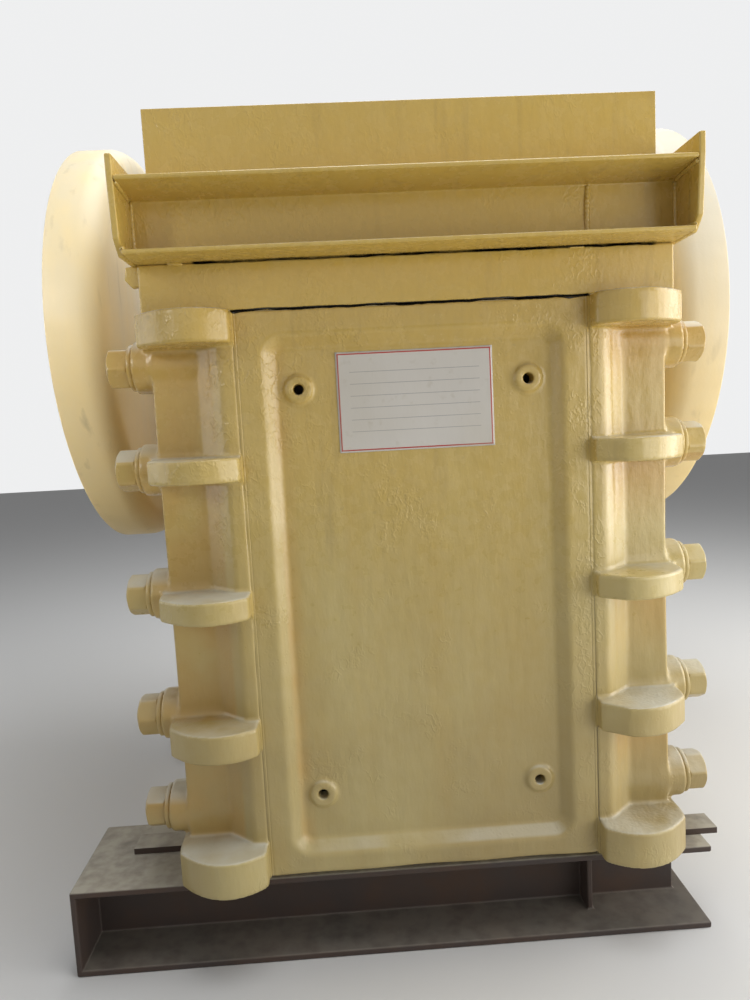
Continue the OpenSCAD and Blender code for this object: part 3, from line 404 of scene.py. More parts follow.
def plate_corner(u, v, half_u, half_v, r):
    """Distance in the plane to a rectangle with round corners of radius r, centred on 0, 0."""
    du, dv = np.abs(u) - half_u + r, np.abs(v) - half_v + r
    return np.hypot(np.maximum(du, 0), np.maximum(dv, 0)) + np.minimum(np.maximum(du, dv), 0) - r


def sand_wave(x, y, z, height, seed):
    """Slow unevenness of a sand mould: a sum of sine waves, 70 to 260 mm long, in random directions."""
    rng = np.random.default_rng(seed)
    total = 0.0
    for length in (0.26, 0.17, 0.12, 0.09, 0.07):
        ax, ay, az = rng.normal(size=3) / 1.7 * math.tau / length
        total = total + np.sin(ax * x + ay * y + az * z + rng.uniform(0, math.tau)) * length
    return total / 0.71 * height


def cells_of(stops, steps):
    """Grid stations from stop to stop, spaced by that stretch's step."""
    parts = [np.linspace(a, b, max(2, round((b - a) / step) + 1))[:-1]
             for a, b, step in zip(stops[:-1], stops[1:], steps)]
    return np.concatenate(parts + [[stops[-1]]])


def mesh_of(name, points, faces, normals=None):
    """A mesh object from arrays of points and four-sided faces, smooth, with its normals if given."""
    mesh = bpy.data.meshes.new(name)
    mesh.vertices.add(len(points))
    mesh.vertices.foreach_set("co", np.ascontiguousarray(points, dtype=np.float32).ravel())
    mesh.loops.add(faces.size)
    mesh.loops.foreach_set("vertex_index", np.ascontiguousarray(faces, dtype=np.int32).ravel())
    mesh.polygons.add(len(faces))
    mesh.polygons.foreach_set("loop_start", np.arange(len(faces), dtype=np.int32) * faces.shape[1])
    mesh.polygons.foreach_set("use_smooth", np.ones(len(faces), dtype=bool))
    mesh.update()
    mesh.validate()
    if normals is not None:
        mesh.normals_split_custom_set_from_vertices(normals)
    made = bpy.data.objects.new(name, mesh)
    bpy.context.scene.collection.objects.link(made)
    return made


def skin(name, shape, xs, ys, zs):
    """The surface where shape(x, y, z) is 0, as four-sided faces on a grid of those stations.

    Each cell that the surface passes through gets one point, the mean of the places where it cuts
    the cell's edges; each cut edge gets a face between the four cells round it. The points are then
    moved along the shape's slope onto the surface, and the slope there is the normal."""
    grid = [xs, ys, zs]
    full = (len(xs), len(ys), len(zs))
    d = np.broadcast_to(shape(xs[:, None, None], ys[None, :, None], zs[None, None, :]), full)
    cells = tuple(n - 1 for n in full)
    total = np.zeros(cells + (3,))
    count = np.zeros(cells)
    cuts = []
    for axis in range(3):
        a = np.take(d, range(full[axis] - 1), axis)
        b = np.take(d, range(1, full[axis]), axis)
        cut = (a < 0) != (b < 0)
        share = np.where(cut, a / np.where(cut, a - b, 1.0), 0.0)
        spot = []
        for k in range(3):
            form = [1, 1, 1]
            form[k] = -1
            if k == axis:
                low, gap = grid[k][:-1], np.diff(grid[k])
                spot.append(low.reshape(form) + share * gap.reshape(form))
            else:
                spot.append(np.broadcast_to(grid[k].reshape(form), cut.shape))
        others = [k for k in range(3) if k != axis]
        for du in (0, 1):
            for dv in (0, 1):
                window = [slice(None)] * 3
                window[others[0]] = slice(du, du + cells[others[0]])
                window[others[1]] = slice(dv, dv + cells[others[1]])
                window = tuple(window)
                count += cut[window]
                for k in range(3):
                    total[..., k] += np.where(cut[window], spot[k][window], 0.0)
        cuts.append((cut, a < 0))
    used = count > 0
    number = np.full(cells, -1)
    number[used] = np.arange(used.sum())
    points = total[used] / count[used][:, None]
    faces = []
    for axis in range(3):
        u, v = (axis + 1) % 3, (axis + 2) % 3
        cut, low_in = cuts[axis]
        window = [slice(None)] * 3
        window[u] = slice(1, full[u] - 1)
        window[v] = slice(1, full[v] - 1)
        at = np.argwhere(cut[tuple(window)])
        at[:, u] += 1
        at[:, v] += 1
        outward = low_in[tuple(at.T)]
        corners = []
        for du, dv in ((-1, -1), (0, -1), (0, 0), (-1, 0)):
            cell = at.copy()
            cell[:, u] += du
            cell[:, v] += dv
            corners.append(number[tuple(cell.T)])
        quads = np.stack(corners, 1)
        quads[~outward] = quads[~outward][:, ::-1]
        faces.append(quads)
    eps = 0.0002
    for turn in range(3):
        x, y, z = points.T
        slope = np.stack([shape(x + eps, y, z) - shape(x - eps, y, z),
                          shape(x, y + eps, z) - shape(x, y - eps, z),
                          shape(x, y, z + eps) - shape(x, y, z - eps)], 1) / (2 * eps)
        size = np.maximum((slope ** 2).sum(1), 0.2)
        if turn < 2:
            step = shape(x, y, z)[:, None] * slope / size[:, None]
            points = points - np.clip(step, -0.004, 0.004)
    return mesh_of(name, points, np.concatenate(faces), slope / np.sqrt(size)[:, None])


tray_half_w, tray_half_h, tray_mid_z, tray_deep, tray_slope = 0.290, 0.522, 0.562, 0.022, 0.025
tray_corner = 0.042
boss_half_x, boss_low_z, boss_high_z = 0.224, 0.160, 0.981
boss_r, boss_hole_r, boss_up, boss_draft, boss_root = 0.027, 0.010, 0.008, 0.15, 0.020
boss_hole_deep = 0.075
pocket_half_w, pocket_front, pocket_back, half_web = 0.288, 0.052, 0.25, 0.014
bolt_y, bolt_zs = 0.095, (0.119, 0.324, 0.581, 0.838, 1.043)
mould_wave, front_mould, side_mould = 0.0011, 3, 5


def front_frame_shape(x, y, z):
    """A box less the tray and the five rear pockets, plus bosses with holes. The tray's depth grows
    from its edge inwards, v = deep * (distance inside the edge) / slope, until it reaches its floor."""
    u, v, w = x, y - face_y, z - foot_z
    height = panel_hi.z - panel_lo.z
    body = block(u, v, w, (panel_lo.x, 0, 0), (panel_hi.x, panel_hi.y - panel_lo.y, height), 0.008)
    edge = plate_corner(u, w - tray_mid_z, tray_half_w, tray_half_h, tray_corner)
    fall = tray_slope / tray_deep
    tray = smooth_max(v - tray_deep, (edge + v * fall) / math.hypot(1, fall), 0.004)
    shape = smooth_max(body, -tray, 0.005)
    stops = [half_web, *[(a + b) / 2 for a, b in zip(bolt_zs[:-1], bolt_zs[1:])], height - half_web]
    for low, high in zip(stops[:-1], stops[1:]):
        pocket = block(u, v, w, (-pocket_half_w, pocket_front, low + half_web),
                       (pocket_half_w, pocket_back, high - half_web), 0.008)
        shape = smooth_max(shape, -pocket, 0.004)
    for boss_z in (boss_low_z, boss_high_z):
        out = np.hypot(np.abs(u) - boss_half_x, w - boss_z)
        boss = smooth_max(out - boss_r - boss_draft * (v - tray_deep), tray_deep - boss_up - v, 0.006)
        shape = smooth_min(shape, smooth_max(boss, v - tray_deep - boss_root, 0.002), 0.010)
        shape = smooth_max(shape, -smooth_max(out - boss_hole_r, v - boss_hole_deep, 0.001), 0.004)
    return shape + sand_wave(x, y, z, mould_wave, front_mould)


# The stations lie close together over the tray's slopes and wide apart on its floor. They start and
# end a little outside the casting.
around = 0.006
slope_out, slope_in = tray_half_w + 0.008, 0.190
front_casting = skin(
    "front_frame_casting", front_frame_shape,
    cells_of([panel_lo.x - around, -slope_out, -slope_in, slope_in, slope_out, panel_hi.x + around],
             [0.0065, 0.0034, 0.0080, 0.0034, 0.0065]),
    face_y + cells_of([-around, 0.030, 0.070, 0.180 + around], [0.0036, 0.008, 0.016]),
    foot_z + cells_of([-around, 0.034, 0.200, 0.940, 1.100, 1.132 + around],
                      [0.0065, 0.0036, 0.0080, 0.0036, 0.0065]))
front_casting.data.materials.append(cast_paint)
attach(front_casting, "root")
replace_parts(front_casting, "front_frame")

# Thick paint bridges the joints between the front frame and the side frames. It sags a little
# between the two castings, and the enamel's own colour shows where it has cracked open.
def joint_paint(hand, name):
    """A strip over one joint. Each edge lies on its casting, y = face_y + sand_wave, and the strip
    sags between them by sag * (1 - s^2), s running from -1 to 1 across it."""
    rows, across_count = 280, 7
    half_w, sag, proud, thick, short = 0.006, 0.0006, 0.0001, 0.004, 0.003
    zs = np.linspace(foot_z + short, panel_hi.z - short, rows)[:, None]
    s = np.linspace(-1, 1, across_count)[None, :]
    xs = hand * (panel_hi.x + half_w * s) + 0 * zs
    panel_side = sand_wave(xs, face_y, zs, mould_wave, front_mould)
    frame_side = sand_wave(xs, face_y, zs, mould_wave, side_mould)
    share = np.clip(s * 0.8 + 0.5, 0, 1)
    ys = face_y + panel_side * (1 - share) + frame_side * share + sag * (1 - s ** 2) - proud
    front = np.stack([xs, ys, zs + 0 * s], -1)
    points = np.concatenate([front, front + (0, thick, 0)], 1).reshape(-1, 3)
    ring = np.concatenate([np.arange(across_count), np.arange(across_count, 2 * across_count)[::-1]])
    start = np.arange(rows - 1)[:, None] * 2 * across_count
    now, on = start + ring, start + np.roll(ring, -1)
    faces = np.stack([now, on, on + 2 * across_count, now + 2 * across_count], -1).reshape(-1, 4)
    made = mesh_of(name, points, faces[:, ::hand])
    made.data.materials.append(cast_paint)
    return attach(made, "root")


for hand, name in ((-1, "left"), (1, "right")):
    joint_paint(hand, f"{name}_joint_paint")

# The side frames: a wall with a column in front, five ribs whose front ends are round lugs, bosses
# for the cross bolts, uprights behind, and the saddle for the main bearing. Also sand castings.
_, frame_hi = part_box("right_side_frame")
shaft_lo, shaft_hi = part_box("right_flywheel")
shaft_y, shaft_z = (shaft_lo.y + shaft_hi.y) / 2 - face_y, (shaft_lo.z + shaft_hi.z) / 2 - foot_z
inner_x = panel_hi.x
wall_x, column_x, column_deep = inner_x + 0.050, inner_x + 0.168, 0.150
strip_x, column_back = inner_x + 0.027, 0.045
chamfer_x, chamfer_y = 0.633, 0.774
lug_x, lug_y, lug_r = inner_x + 0.076, 0.029, 0.096
rib_out_x, upright_t = wall_x + 0.084, 0.040
wall_top = panel_hi.z - panel_lo.z
wall_len = frame_hi.y - face_y
rib_zs = [rib_ts[0] / 2 + i * rib_step for i in range(5)]
bolt_boss_r, bolt_face_x = 0.052, column_x + 0.040
rear_bolt_y, rear_bolt_zs, rear_face_x = 1.080, (0.2236, 0.3826, 0.4786), wall_x + 0.030
housing_r, saddle_r, housing_l, seat_deep = 0.170, 0.215, 0.200, 0.042
saddle_half = wall_len - shaft_y
ground_x, ground_y, ground_off, ground_lugs = 0.62, 0.785, 0.027, (1, 2, 3)
edge_band, fillet = 0.006, 0.009


def side_frame_shape(x, y, z):
    """Wall, column, ribs, uprights, bosses and saddle joined with fillets, less the housing's bore.

    A lug is the circle (u - lug_x)^2 + (v - lug_y)^2 = lug_r^2. The middle three on the right are
    ground flat towards the panel, along ground_x * u + ground_y * v = constant."""
    u, v, w = np.abs(x), y - face_y, z - foot_z
    top = np.where(v > shaft_y - saddle_half, w - shaft_z, w - wall_top)
    wall = smooth_max(block(u, v, w, (inner_x, 0.0, 0.0), (wall_x, wall_len, shaft_z), edge_band),
                      top, edge_band)
    chamfer = (u - strip_x) * chamfer_x - v * chamfer_y
    wall = smooth_max(wall, chamfer, edge_band)
    strip = block(u, v, w, (inner_x, 0.0, 0.0), (wall_x + 0.05, column_deep, wall_top), edge_band)
    strip = smooth_max(strip, chamfer, edge_band)
    column = block(u, v, w, (inner_x, column_back, 0.0), (column_x, column_deep, wall_top), edge_band)
    shape = smooth_min(smooth_min(wall, strip, 0.004), column, 0.005)
    lug = np.hypot(u - lug_x, v - lug_y) - lug_r
    behind = np.maximum(slab(u, inner_x, lug_x + lug_r), slab(v, lug_y, column_deep + 0.02))
    along = np.maximum(slab(u, inner_x, rib_out_x), slab(v, lug_y, wall_len - upright_t / 2))
    plan = smooth_min(np.minimum(lug, behind), along, 0.10)
    plan = smooth_max(plan, inner_x - u, edge_band)
    flat = (inner_x - u) * ground_x - (v + ground_off) * ground_y
    ground = smooth_max(plan, np.where(x > 0, flat, -1.0), 0.002)
    for i, (rib_z, rib_t) in enumerate(zip(rib_zs, rib_ts)):
        rib = smooth_max(ground if i in ground_lugs else plan,
                         slab(w, rib_z - rib_t / 2, rib_z + rib_t / 2), 0.0055)
        shape = smooth_min(shape, rib, fillet)
    for upright_y in (shaft_y - saddle_half, wall_len - upright_t):
        post = block(u, v, w, (inner_x, upright_y, 0.0), (rib_out_x, upright_y + upright_t, shaft_z),
                     edge_band)
        shape = smooth_min(shape, post, fillet)
    out = np.hypot(v - shaft_y, w - shaft_z)
    saddle = smooth_max(smooth_max(out - saddle_r, w - shaft_z, edge_band),
                        slab(u, inner_x, inner_x + housing_l), edge_band)
    seat = block(u, v, w, (inner_x, shaft_y - saddle_half, shaft_z - seat_deep),
                 (inner_x + housing_l, wall_len, shaft_z), edge_band)
    shape = smooth_min(shape, smooth_min(saddle, seat, 0.03), 0.02)
    for at_y, at_zs, from_x, to_x in ((bolt_y, bolt_zs, wall_x, bolt_face_x),
                                      (rear_bolt_y, rear_bolt_zs, inner_x, rear_face_x)):
        for bolt_z in at_zs:
            boss = np.hypot(v - at_y, w - bolt_z) - bolt_boss_r
            shape = smooth_min(shape, smooth_max(boss, slab(u, from_x, to_x), edge_band), fillet)
    shape = smooth_max(shape, -(out - housing_r), 0.003)
    return shape + sand_wave(x, y, z, mould_wave, side_mould)


def side_frame_piece(hand, name):
    """The casting on one side, hand -1 or 1: fine stations round the column, coarse ones behind."""
    xs = cells_of([inner_x - around, bolt_face_x + around], [0.0054])
    ys = cells_of([lug_y - lug_r - 0.008, column_deep + 0.015, shaft_y - saddle_half - 0.02,
                   wall_len + 0.012], [0.0050, 0.0150, 0.0100])
    zs = cells_of([panel_lo.z - around, foot_z + shaft_z + around], [0.0064])
    made = skin(name, side_frame_shape, xs if hand > 0 else -xs[::-1], face_y + ys, zs)
    made.data.materials.append(cast_paint)
    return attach(made, "root")


for hand, name in ((-1, "left"), (1, "right")):
    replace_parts(side_frame_piece(hand, f"{name}_side_casting"), f"{name}_side_frame")

# The other castings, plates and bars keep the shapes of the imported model. Each is copied with its
# triangles joined and its edges broken, as a foundry, a burning table or a grinder leaves them.
def dressed(node, look_of, body="root", bevel=0.003, steps=2, mend=None):
    """A copy of a CAD node that stands for it, with joined faces and edges rounded by that width.
    If mend is given, it reworks the copy's faces before the edges are rounded."""
    work = bmesh.new()
    work.from_mesh(frame["nodes"][node].data)
    bmesh.ops.remove_doubles(work, verts=work.verts, dist=2e-5)
    bmesh.ops.dissolve_limit(work, angle_limit=math.radians(0.6), verts=work.verts, edges=work.edges)
    if mend:
        mend(work)
    mesh = bpy.data.meshes.new(node + "_dressed")
    work.to_mesh(mesh)
    work.free()
    rough = bpy.data.objects.new(node + "_rough", mesh)
    bpy.context.scene.collection.objects.link(rough)
    edges = rough.modifiers.new("edges", "BEVEL")
    edges.width, edges.segments, edges.limit_method = bevel, steps, "ANGLE"
    edges.angle_limit, edges.harden_normals = math.radians(28), True
    done = bpy.data.meshes.new_from_object(rough.evaluated_get(bpy.context.evaluated_depsgraph_get()))
    bpy.data.objects.remove(rough)
    done.name = node + "_dressed"
    done.materials.clear()
    done.materials.append(look_of)
    piece = bpy.data.objects.new(node + "_dressed", done)
    bpy.context.scene.collection.objects.link(piece)
    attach(piece, body)
    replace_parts(piece, node)
    return piece


for name, bevel in (("rear_frame", 0.006), ("toggle_block", 0.004), ("pitman", 0.008),
                    ("left_bearing", 0.004), ("right_bearing", 0.004),
                    ("left_bearing_cap", 0.006), ("right_bearing_cap", 0.006)):
    dressed(name, cast_paint, bevel=bevel, steps=3)

# The band, the sills, the feed collar and the skirt are rolled and torch-cut plate, welded up. Their
# edges are only a little broken, and the plate is smoother than the castings.
for name, bevel in (("front_lintel", 0.005), ("left_sill", 0.003), ("right_sill", 0.003),
                    ("collar_front", 0.003), ("collar_left", 0.003), ("collar_right", 0.003),
                    ("collar_rear", 0.003), ("skirt_front", 0.0015), ("skirt_left", 0.0015),
                    ("skirt_right", 0.0015), ("skirt_rear", 0.0015)):
    dressed(name, sheet_paint, bevel=bevel)

# The working parts are bare: jaw plates and cheeks of manganese steel, worn bright where stone rubs,
# and the oiled shaft, toggle, wedge, shims and rods.
dressed("fixed_jaw", fixed_ridges, bevel=0.005, steps=3)
dressed("swing_jaw_plate", swing_ridges, bevel=0.005, steps=3)
for name in ("left_upper_cheek", "left_lower_cheek", "right_upper_cheek", "right_lower_cheek"):
    dressed(name, jaw_steel, bevel=0.004)
for name in ("jaw_wedge", "barrel_rings", "toggle_plate", "front_toggle_seat", "rear_toggle_seat",
             "setting_shims", "tension_rods"):
    dressed(name, bare_steel, bevel=0.002)
dressed("eccentric_shaft", bare_steel, "rotor", 0.002)

# The flywheels are turned all over, so they are smoother than the frame. Their paint is a paler, greyer
# copy of the cream, which is painted light, and it turns from pale grey at the top to yellow ochre lower
# down: a painted sky reflection above and painted bounce light from the ground and frame below. The
# face towards the frame is plain, so the four recesses in the web are open to the outside only.
wheel_r, wheel_w, wheel_hub_r, recess_floor = (shaft_hi.z - shaft_lo.z) / 2, 0.140, 0.150, 0.014
wheel_face_x = shaft_hi.x - wheel_w
hub_band, rim_band = 1.15, 0.96


def plain_inner_face(work):
    """Rebuilds a wheel's flat inner face as a ring without holes, and moves each hole's rim outwards
    by recess_floor to edge a new floor. The ring has a narrow band of faces along each of its edges."""
    flat = [face for face in work.faces
            if all(abs(abs(corner.co.x) - wheel_face_x) < 1e-5 for corner in face.verts)]
    bmesh.ops.delete(work, geom=flat, context="FACES")
    at_hub, at_holes, at_rim = [], [], []
    for edge in work.edges:
        if edge.is_boundary:
            spot = edge.verts[0].co
            r = math.hypot(spot.y - face_y - shaft_y, spot.z - foot_z - shaft_z)
            if r < 1.1 * wheel_hub_r:
                at_hub.append(edge)
            elif r > 0.8 * wheel_r:
                at_rim.append(edge)
            else:
                at_holes.append(edge)
    for corner in {corner for edge in at_holes for corner in edge.verts}:
        corner.co.x += math.copysign(recess_floor, corner.co.x)
    bmesh.ops.edgeloop_fill(work, edges=at_holes)
    loops = []
    for edges, grow in ((at_hub, hub_band), (at_rim, rim_band)):
        grown = bmesh.ops.extrude_edge_only(work, edges=edges)["geom"]
        for corner in [part for part in grown if isinstance(part, bmesh.types.BMVert)]:
            corner.co.y = face_y + shaft_y + (corner.co.y - face_y - shaft_y) * grow
            corner.co.z = foot_z + shaft_z + (corner.co.z - foot_z - shaft_z) * grow
        loops += [part for part in grown if isinstance(part, bmesh.types.BMEdge) and part.is_boundary]
    bmesh.ops.bridge_loops(work, edges=loops)
    bmesh.ops.recalc_face_normals(work, faces=work.faces)


for name in ("left_flywheel", "right_flywheel"):
    dressed(name, wheel_paint_with_painted_light, "rotor", 0.004, 3, plain_inner_face)
dressed("shaft_end_discs", wheel_paint_with_painted_light, "rotor", 0.0015)

# The base beams and the packing plates are dark rolled steel, with dust lying on their flanges.
for name, bevel in (("base_front_beam", 0.004), ("base_rear_beam", 0.004), ("packing_plates", 0.0015)):
    dressed(name, beam_steel, bevel=bevel, steps=3)

# The cross bolts: washers, thick six-sided nuts each stopped at its own angle, and domed bolt ends,
# all under so much paint that their corners are round.
turns = 96
round_angles = np.arange(turns) * math.tau / turns
nut_flat, nut_t, washer_t, shank_r = 0.075, 0.040, 0.010, 0.024
head_face, head_t, recess_back, recess_r = 0.052, 0.0318, 0.084, 0.030


def tube_faces(rings, around):
    """Four-sided faces between that many rings, each of that many points, with the ring closed."""
    k, i = np.arange(around), np.arange(rings - 1)[:, None] * around
    near, far = i + k, i + (k + 1) % around
    return np.stack([near, far, far + around, near + around], -1).reshape(-1, 4)


def mesh_of_parts(name, parts):
    """One mesh object from several pairs of points and faces, each pair counting from 0."""
    starts = np.cumsum([0] + [len(points) for points, _ in parts[:-1]])
    return mesh_of(name, np.concatenate([points for points, _ in parts]),
                   np.concatenate([faces + start for (_, faces), start in zip(parts, starts)]))


def six_sided(flat, turn):
    """Radius of a hexagon with soft corners: flat / 2 over the 26-norm of its sides' directions."""
    sides = np.cos(round_angles[:, None] - turn - np.arange(6) * math.pi / 3)
    return flat / 2 / (np.maximum(sides, 0) ** 26).sum(1) ** (1 / 26)


def turned(rings, x_of, y, z):
    """Points and faces of a bar along X: each ring is a place along it and a radius or its 96 radii."""
    points = np.array([[(x_of(at), y + r * math.cos(a), z + r * math.sin(a))
                        for a, r in zip(round_angles, np.broadcast_to(radius, turns))]
                       for at, radius in rings]).reshape(-1, 3)
    return points, tube_faces(len(rings), turns)


def nut_rings(start, flat, thick, turn, bore):
    """A nut on a washer face: its corners are cut by cones, r <= share * flat + 1.7 * depth, with the
    share 0.5 at the washer and 0.485 at the free end."""
    hexagon = six_sided(flat, turn)
    depths = (0.0, 0.0006, 0.0014, 0.0026, 0.0045, 0.007)
    rings = [(start + s, np.minimum(hexagon, 0.50 * flat + 1.7 * s)) for s in depths]
    rings += [(start + thick - s, np.minimum(hexagon, 0.485 * flat + 1.7 * s)) for s in depths[::-1]]
    return rings + [(start + thick + 0.0002, 0.44 * flat), (start + thick, bore)]


def bolt_set(name, spots, hands, face_x, seed):
    """The cross bolts at those heights and depths: each runs from its head inside to its end outside."""
    rng = np.random.default_rng(seed)
    head = six_sided(nut_flat, 0.0)
    head_rings = [(inner_x - recess_back, 0.0), (inner_x - recess_back, recess_r)]
    head_rings += [(inner_x - head_face - s, r) for s, r in
                   ((head_t, 0.034), (0.030, np.minimum(head, nut_flat / 2)), (0.026, head),
                    (0.0, head), (0.0, shank_r))]
    washer_rings = [(face_x + s, r) for s, r in
                    ((0.0, shank_r), (0.0, 0.044), (0.0012, 0.0458), (0.0085, 0.046),
                     (0.0098, 0.0448), (washer_t, 0.042), (washer_t, nut_flat / 2))]
    end = face_x + washer_t + nut_t
    end_rings = [(end + s, r) for s, r in
                 ((0.0, shank_r), (0.0035, 0.0238), (0.0052, 0.0222), (0.0062, 0.017),
                  (0.0068, 0.009), (0.007, 0.0))]
    parts = []
    for hand in hands:
        for y, z in spots:
            turn = rng.uniform(0, math.pi / 3)
            nut = nut_rings(face_x + washer_t, nut_flat, nut_t, turn, shank_r + 0.0005)
            points, faces = turned(head_rings + washer_rings + nut + end_rings,
                                   lambda at: hand * at, face_y + y, foot_z + z)
            parts.append((points, faces if hand > 0 else faces[:, ::-1]))
    made = mesh_of_parts(name, parts)
    made.data.materials.append(cast_paint)
    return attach(made, "root")


front_spots = [(bolt_y, z) for z in bolt_zs]
rear_spots = [(rear_bolt_y, z) for z in rear_bolt_zs]
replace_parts(bolt_set("left_front_bolt_set", front_spots, (-1,), bolt_face_x, 4), "left_front_bolts")
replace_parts(bolt_set("right_front_bolt_set", front_spots, (1,), bolt_face_x, 8), "right_front_bolts")
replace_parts(bolt_set("rear_bolt_set", rear_spots, (-1, 1), rear_face_x, 6), "rear_bolts")

# The main bearings' covers are held by a ring of screws, and each cap by four studs with nuts, which
# stand on bosses grown out of the cap's shoulders.
def screw(place, out, flat, thick, turn, stand=0.0, stand_r=0.0):
    """Points and faces of a nut or screw head at place, standing along the axis out, on a boss of the
    height stand if that is not 0."""
    hexagon = six_sided(flat, turn)
    rings = []
    if stand:
        rings += [(-stand, stand_r * 1.12), (-0.012, stand_r * 1.02),
                  (-0.003, stand_r), (0.0, stand_r * 0.93)]
    rings += [(0.0, flat * 0.62), (0.0015, flat * 0.62), (0.002, flat * 0.57),
              (0.002, np.minimum(hexagon, flat * 0.52)), (0.004, hexagon), (thick - 0.003, hexagon),
              (thick, np.minimum(hexagon, flat * 0.49)), (thick + 0.0003, flat * 0.30),
              (thick + (0.010 if stand else 0.0), flat * 0.28), (thick + (0.011 if stand else 0.0003), 0.0)]
    points, faces = turned(rings, lambda at: at, 0.0, 0.0)
    spin = Vector((1, 0, 0)).rotation_difference(Vector(out)).to_matrix()
    return points @ np.array(spin).T + np.array(place), faces


cover_x, screw_ring_r, screw_count, screw_flat, screw_t = inner_x + 0.220, 0.183, 10, 0.022, 0.012
stud_xs, stud_out, stud_z = (0.050, 0.150), 0.198, 0.100
cap_nut_flat, cap_nut_t, cap_boss_h, cap_boss_r = 0.041, 0.024, 0.070, 0.026
shaft_place = np.array((0, face_y + shaft_y, foot_z + shaft_z))
parts = []
rng = np.random.default_rng(12)
for hand in (-1, 1):
    for k in range(screw_count):
        a = math.tau * (k + 0.5) / screw_count
        spot = shaft_place + (hand * cover_x, screw_ring_r * math.cos(a), screw_ring_r * math.sin(a))
        parts.append(screw(spot, (hand, 0, 0), screw_flat, screw_t, rng.uniform(0, 1)))
    for x in stud_xs:
        for y in (-stud_out, stud_out):
            spot = shaft_place + (hand * (inner_x + x), y, stud_z)
            parts.append(screw(spot, (0, 0, 1), cap_nut_flat, cap_nut_t, rng.uniform(0, 1),
                               cap_boss_h, cap_boss_r))
bearing_screws = mesh_of_parts("bearing_screws", parts)
bearing_screws.data.materials.append(cast_paint)
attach(bearing_screws, "root")

# The tension springs, as round wire wound on a helix with its last turns closed and ground.
spring_lo, spring_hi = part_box("tension_springs")
wire_r, coil_r, coil_turns = 0.007, 0.038, 6
coil_x, coil_z = (spring_hi.x - coil_r - wire_r), (spring_lo.z + spring_hi.z) / 2
wire_sides = 12
t = np.linspace(0, 1, coil_turns * 36 + 1)
lift = np.interp(t, [0, 1 / 6, 5 / 6, 1], [0, 0.013, 0.987, 1])
wire_angles = np.arange(wire_sides) * math.tau / wire_sides
a = math.tau * coil_turns * t[:, None]
along = spring_lo.y + wire_r + (spring_hi.y - spring_lo.y - 2 * wire_r) * lift[:, None]
r = coil_r + wire_r * np.cos(wire_angles)
parts = []
for hand in (-1, 1):
    coil = np.stack([hand * coil_x + r * np.cos(a), along + wire_r * np.sin(wire_angles),
                     coil_z + r * np.sin(a)], -1).reshape(-1, 3)
    parts.append((coil, tube_faces(len(t), wire_sides)))
wound = mesh_of_parts("tension_spring_wire", parts)
wound.data.materials.append(bare_steel)
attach(wound, "root")
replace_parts(wound, "tension_springs")

# Weld seams on the feed collar: a butt joint in the channel's web, corner welds at its end plates,
# and short tacks that hold it down on the band. Hand-laid beads, painted over.
collar_z, web_top, web_low, band_low = 1.223, 1.223 + 0.112, 1.223 + 0.018, 1.133
collar_end_x, tack_xs = 0.509, (-0.452, 0.304)


def bead(line, radius, seed):
    """A weld along a line of points, as rings of radius r * (1 + ripple |sin| + uneven * noise). Its
    ends taper, and its middle line wanders by wander * r."""
    step, ripple_l, ripple, uneven, wander, around = 0.0022, 0.0085, 0.22, 0.16, 0.18, 10
    rng = np.random.default_rng(seed)
    stops = np.array(line, dtype=float)
    length = np.linalg.norm(np.diff(stops, axis=0), axis=1).sum()
    n = max(8, int(length / step))
    t = np.linspace(0, 1, n)
    spots = np.stack([np.interp(t, np.linspace(0, 1, len(stops)), stops[:, k]) for k in range(3)], 1)
    way = np.gradient(spots, axis=0)
    way /= np.linalg.norm(way, axis=1)[:, None]
    first = np.cross(way, (0.31, 0.83, 0.46))
    first /= np.linalg.norm(first, axis=1)[:, None]
    second = np.cross(way, first)
    slow = np.interp(t, np.linspace(0, 1, max(3, n // 9)), rng.normal(size=max(3, n // 9)))
    size = radius * (1 + ripple * np.abs(np.sin(t * length / ripple_l * math.pi)) + uneven * slow)
    size = size * np.minimum(1, 0.25 + 6 * np.minimum(t, 1 - t) * length / radius / 8)
    spots = spots + (first * slow[:, None] + second * slow[::-1, None]) * radius * wander
    a = np.arange(around) * math.tau / around
    rings = (spots[:, None] + size[:, None, None] * (np.cos(a)[None, :, None] * first[:, None]
             + np.sin(a)[None, :, None] * second[:, None])).reshape(-1, 3)
    return rings, tube_faces(n, around)[:, [0, 3, 2, 1]]


seams = [((0.340, 0.001, web_low), (0.343, 0.001, web_top), 0.0042)]
for x in tack_xs:
    seams.append(((x, -0.001, collar_z - 0.001), (x + 0.030, -0.001, collar_z - 0.002), 0.0032))
for hand in (-1, 1):
    x = hand * collar_end_x
    seams += [((x, -0.002, web_low), (x, -0.002, web_top), 0.0040),
              ((x, -0.086, collar_z + 0.010), (x, -0.004, web_low + 0.001), 0.0036),
              ((x, -0.094, web_top + 0.006), (x, -0.004, web_top - 0.001), 0.0036),
              ((hand * 0.508, 0.020, collar_z - 0.002), (hand * 0.508, 0.68, collar_z - 0.002), 0.0045),
              ((hand * 0.500, 0.061, band_low), (hand * 0.372, 0.061, band_low), 0.0045)]
parts = []
for seed, (start, end, radius) in enumerate(seams):
    parts.append(bead([(x, face_y + y, foot_z + z) for x, y, z in (start, end)], radius, seed + 20))
welds = mesh_of_parts("collar_welds", parts)
welds.data.materials.append(sheet_paint)
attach(welds, "root")

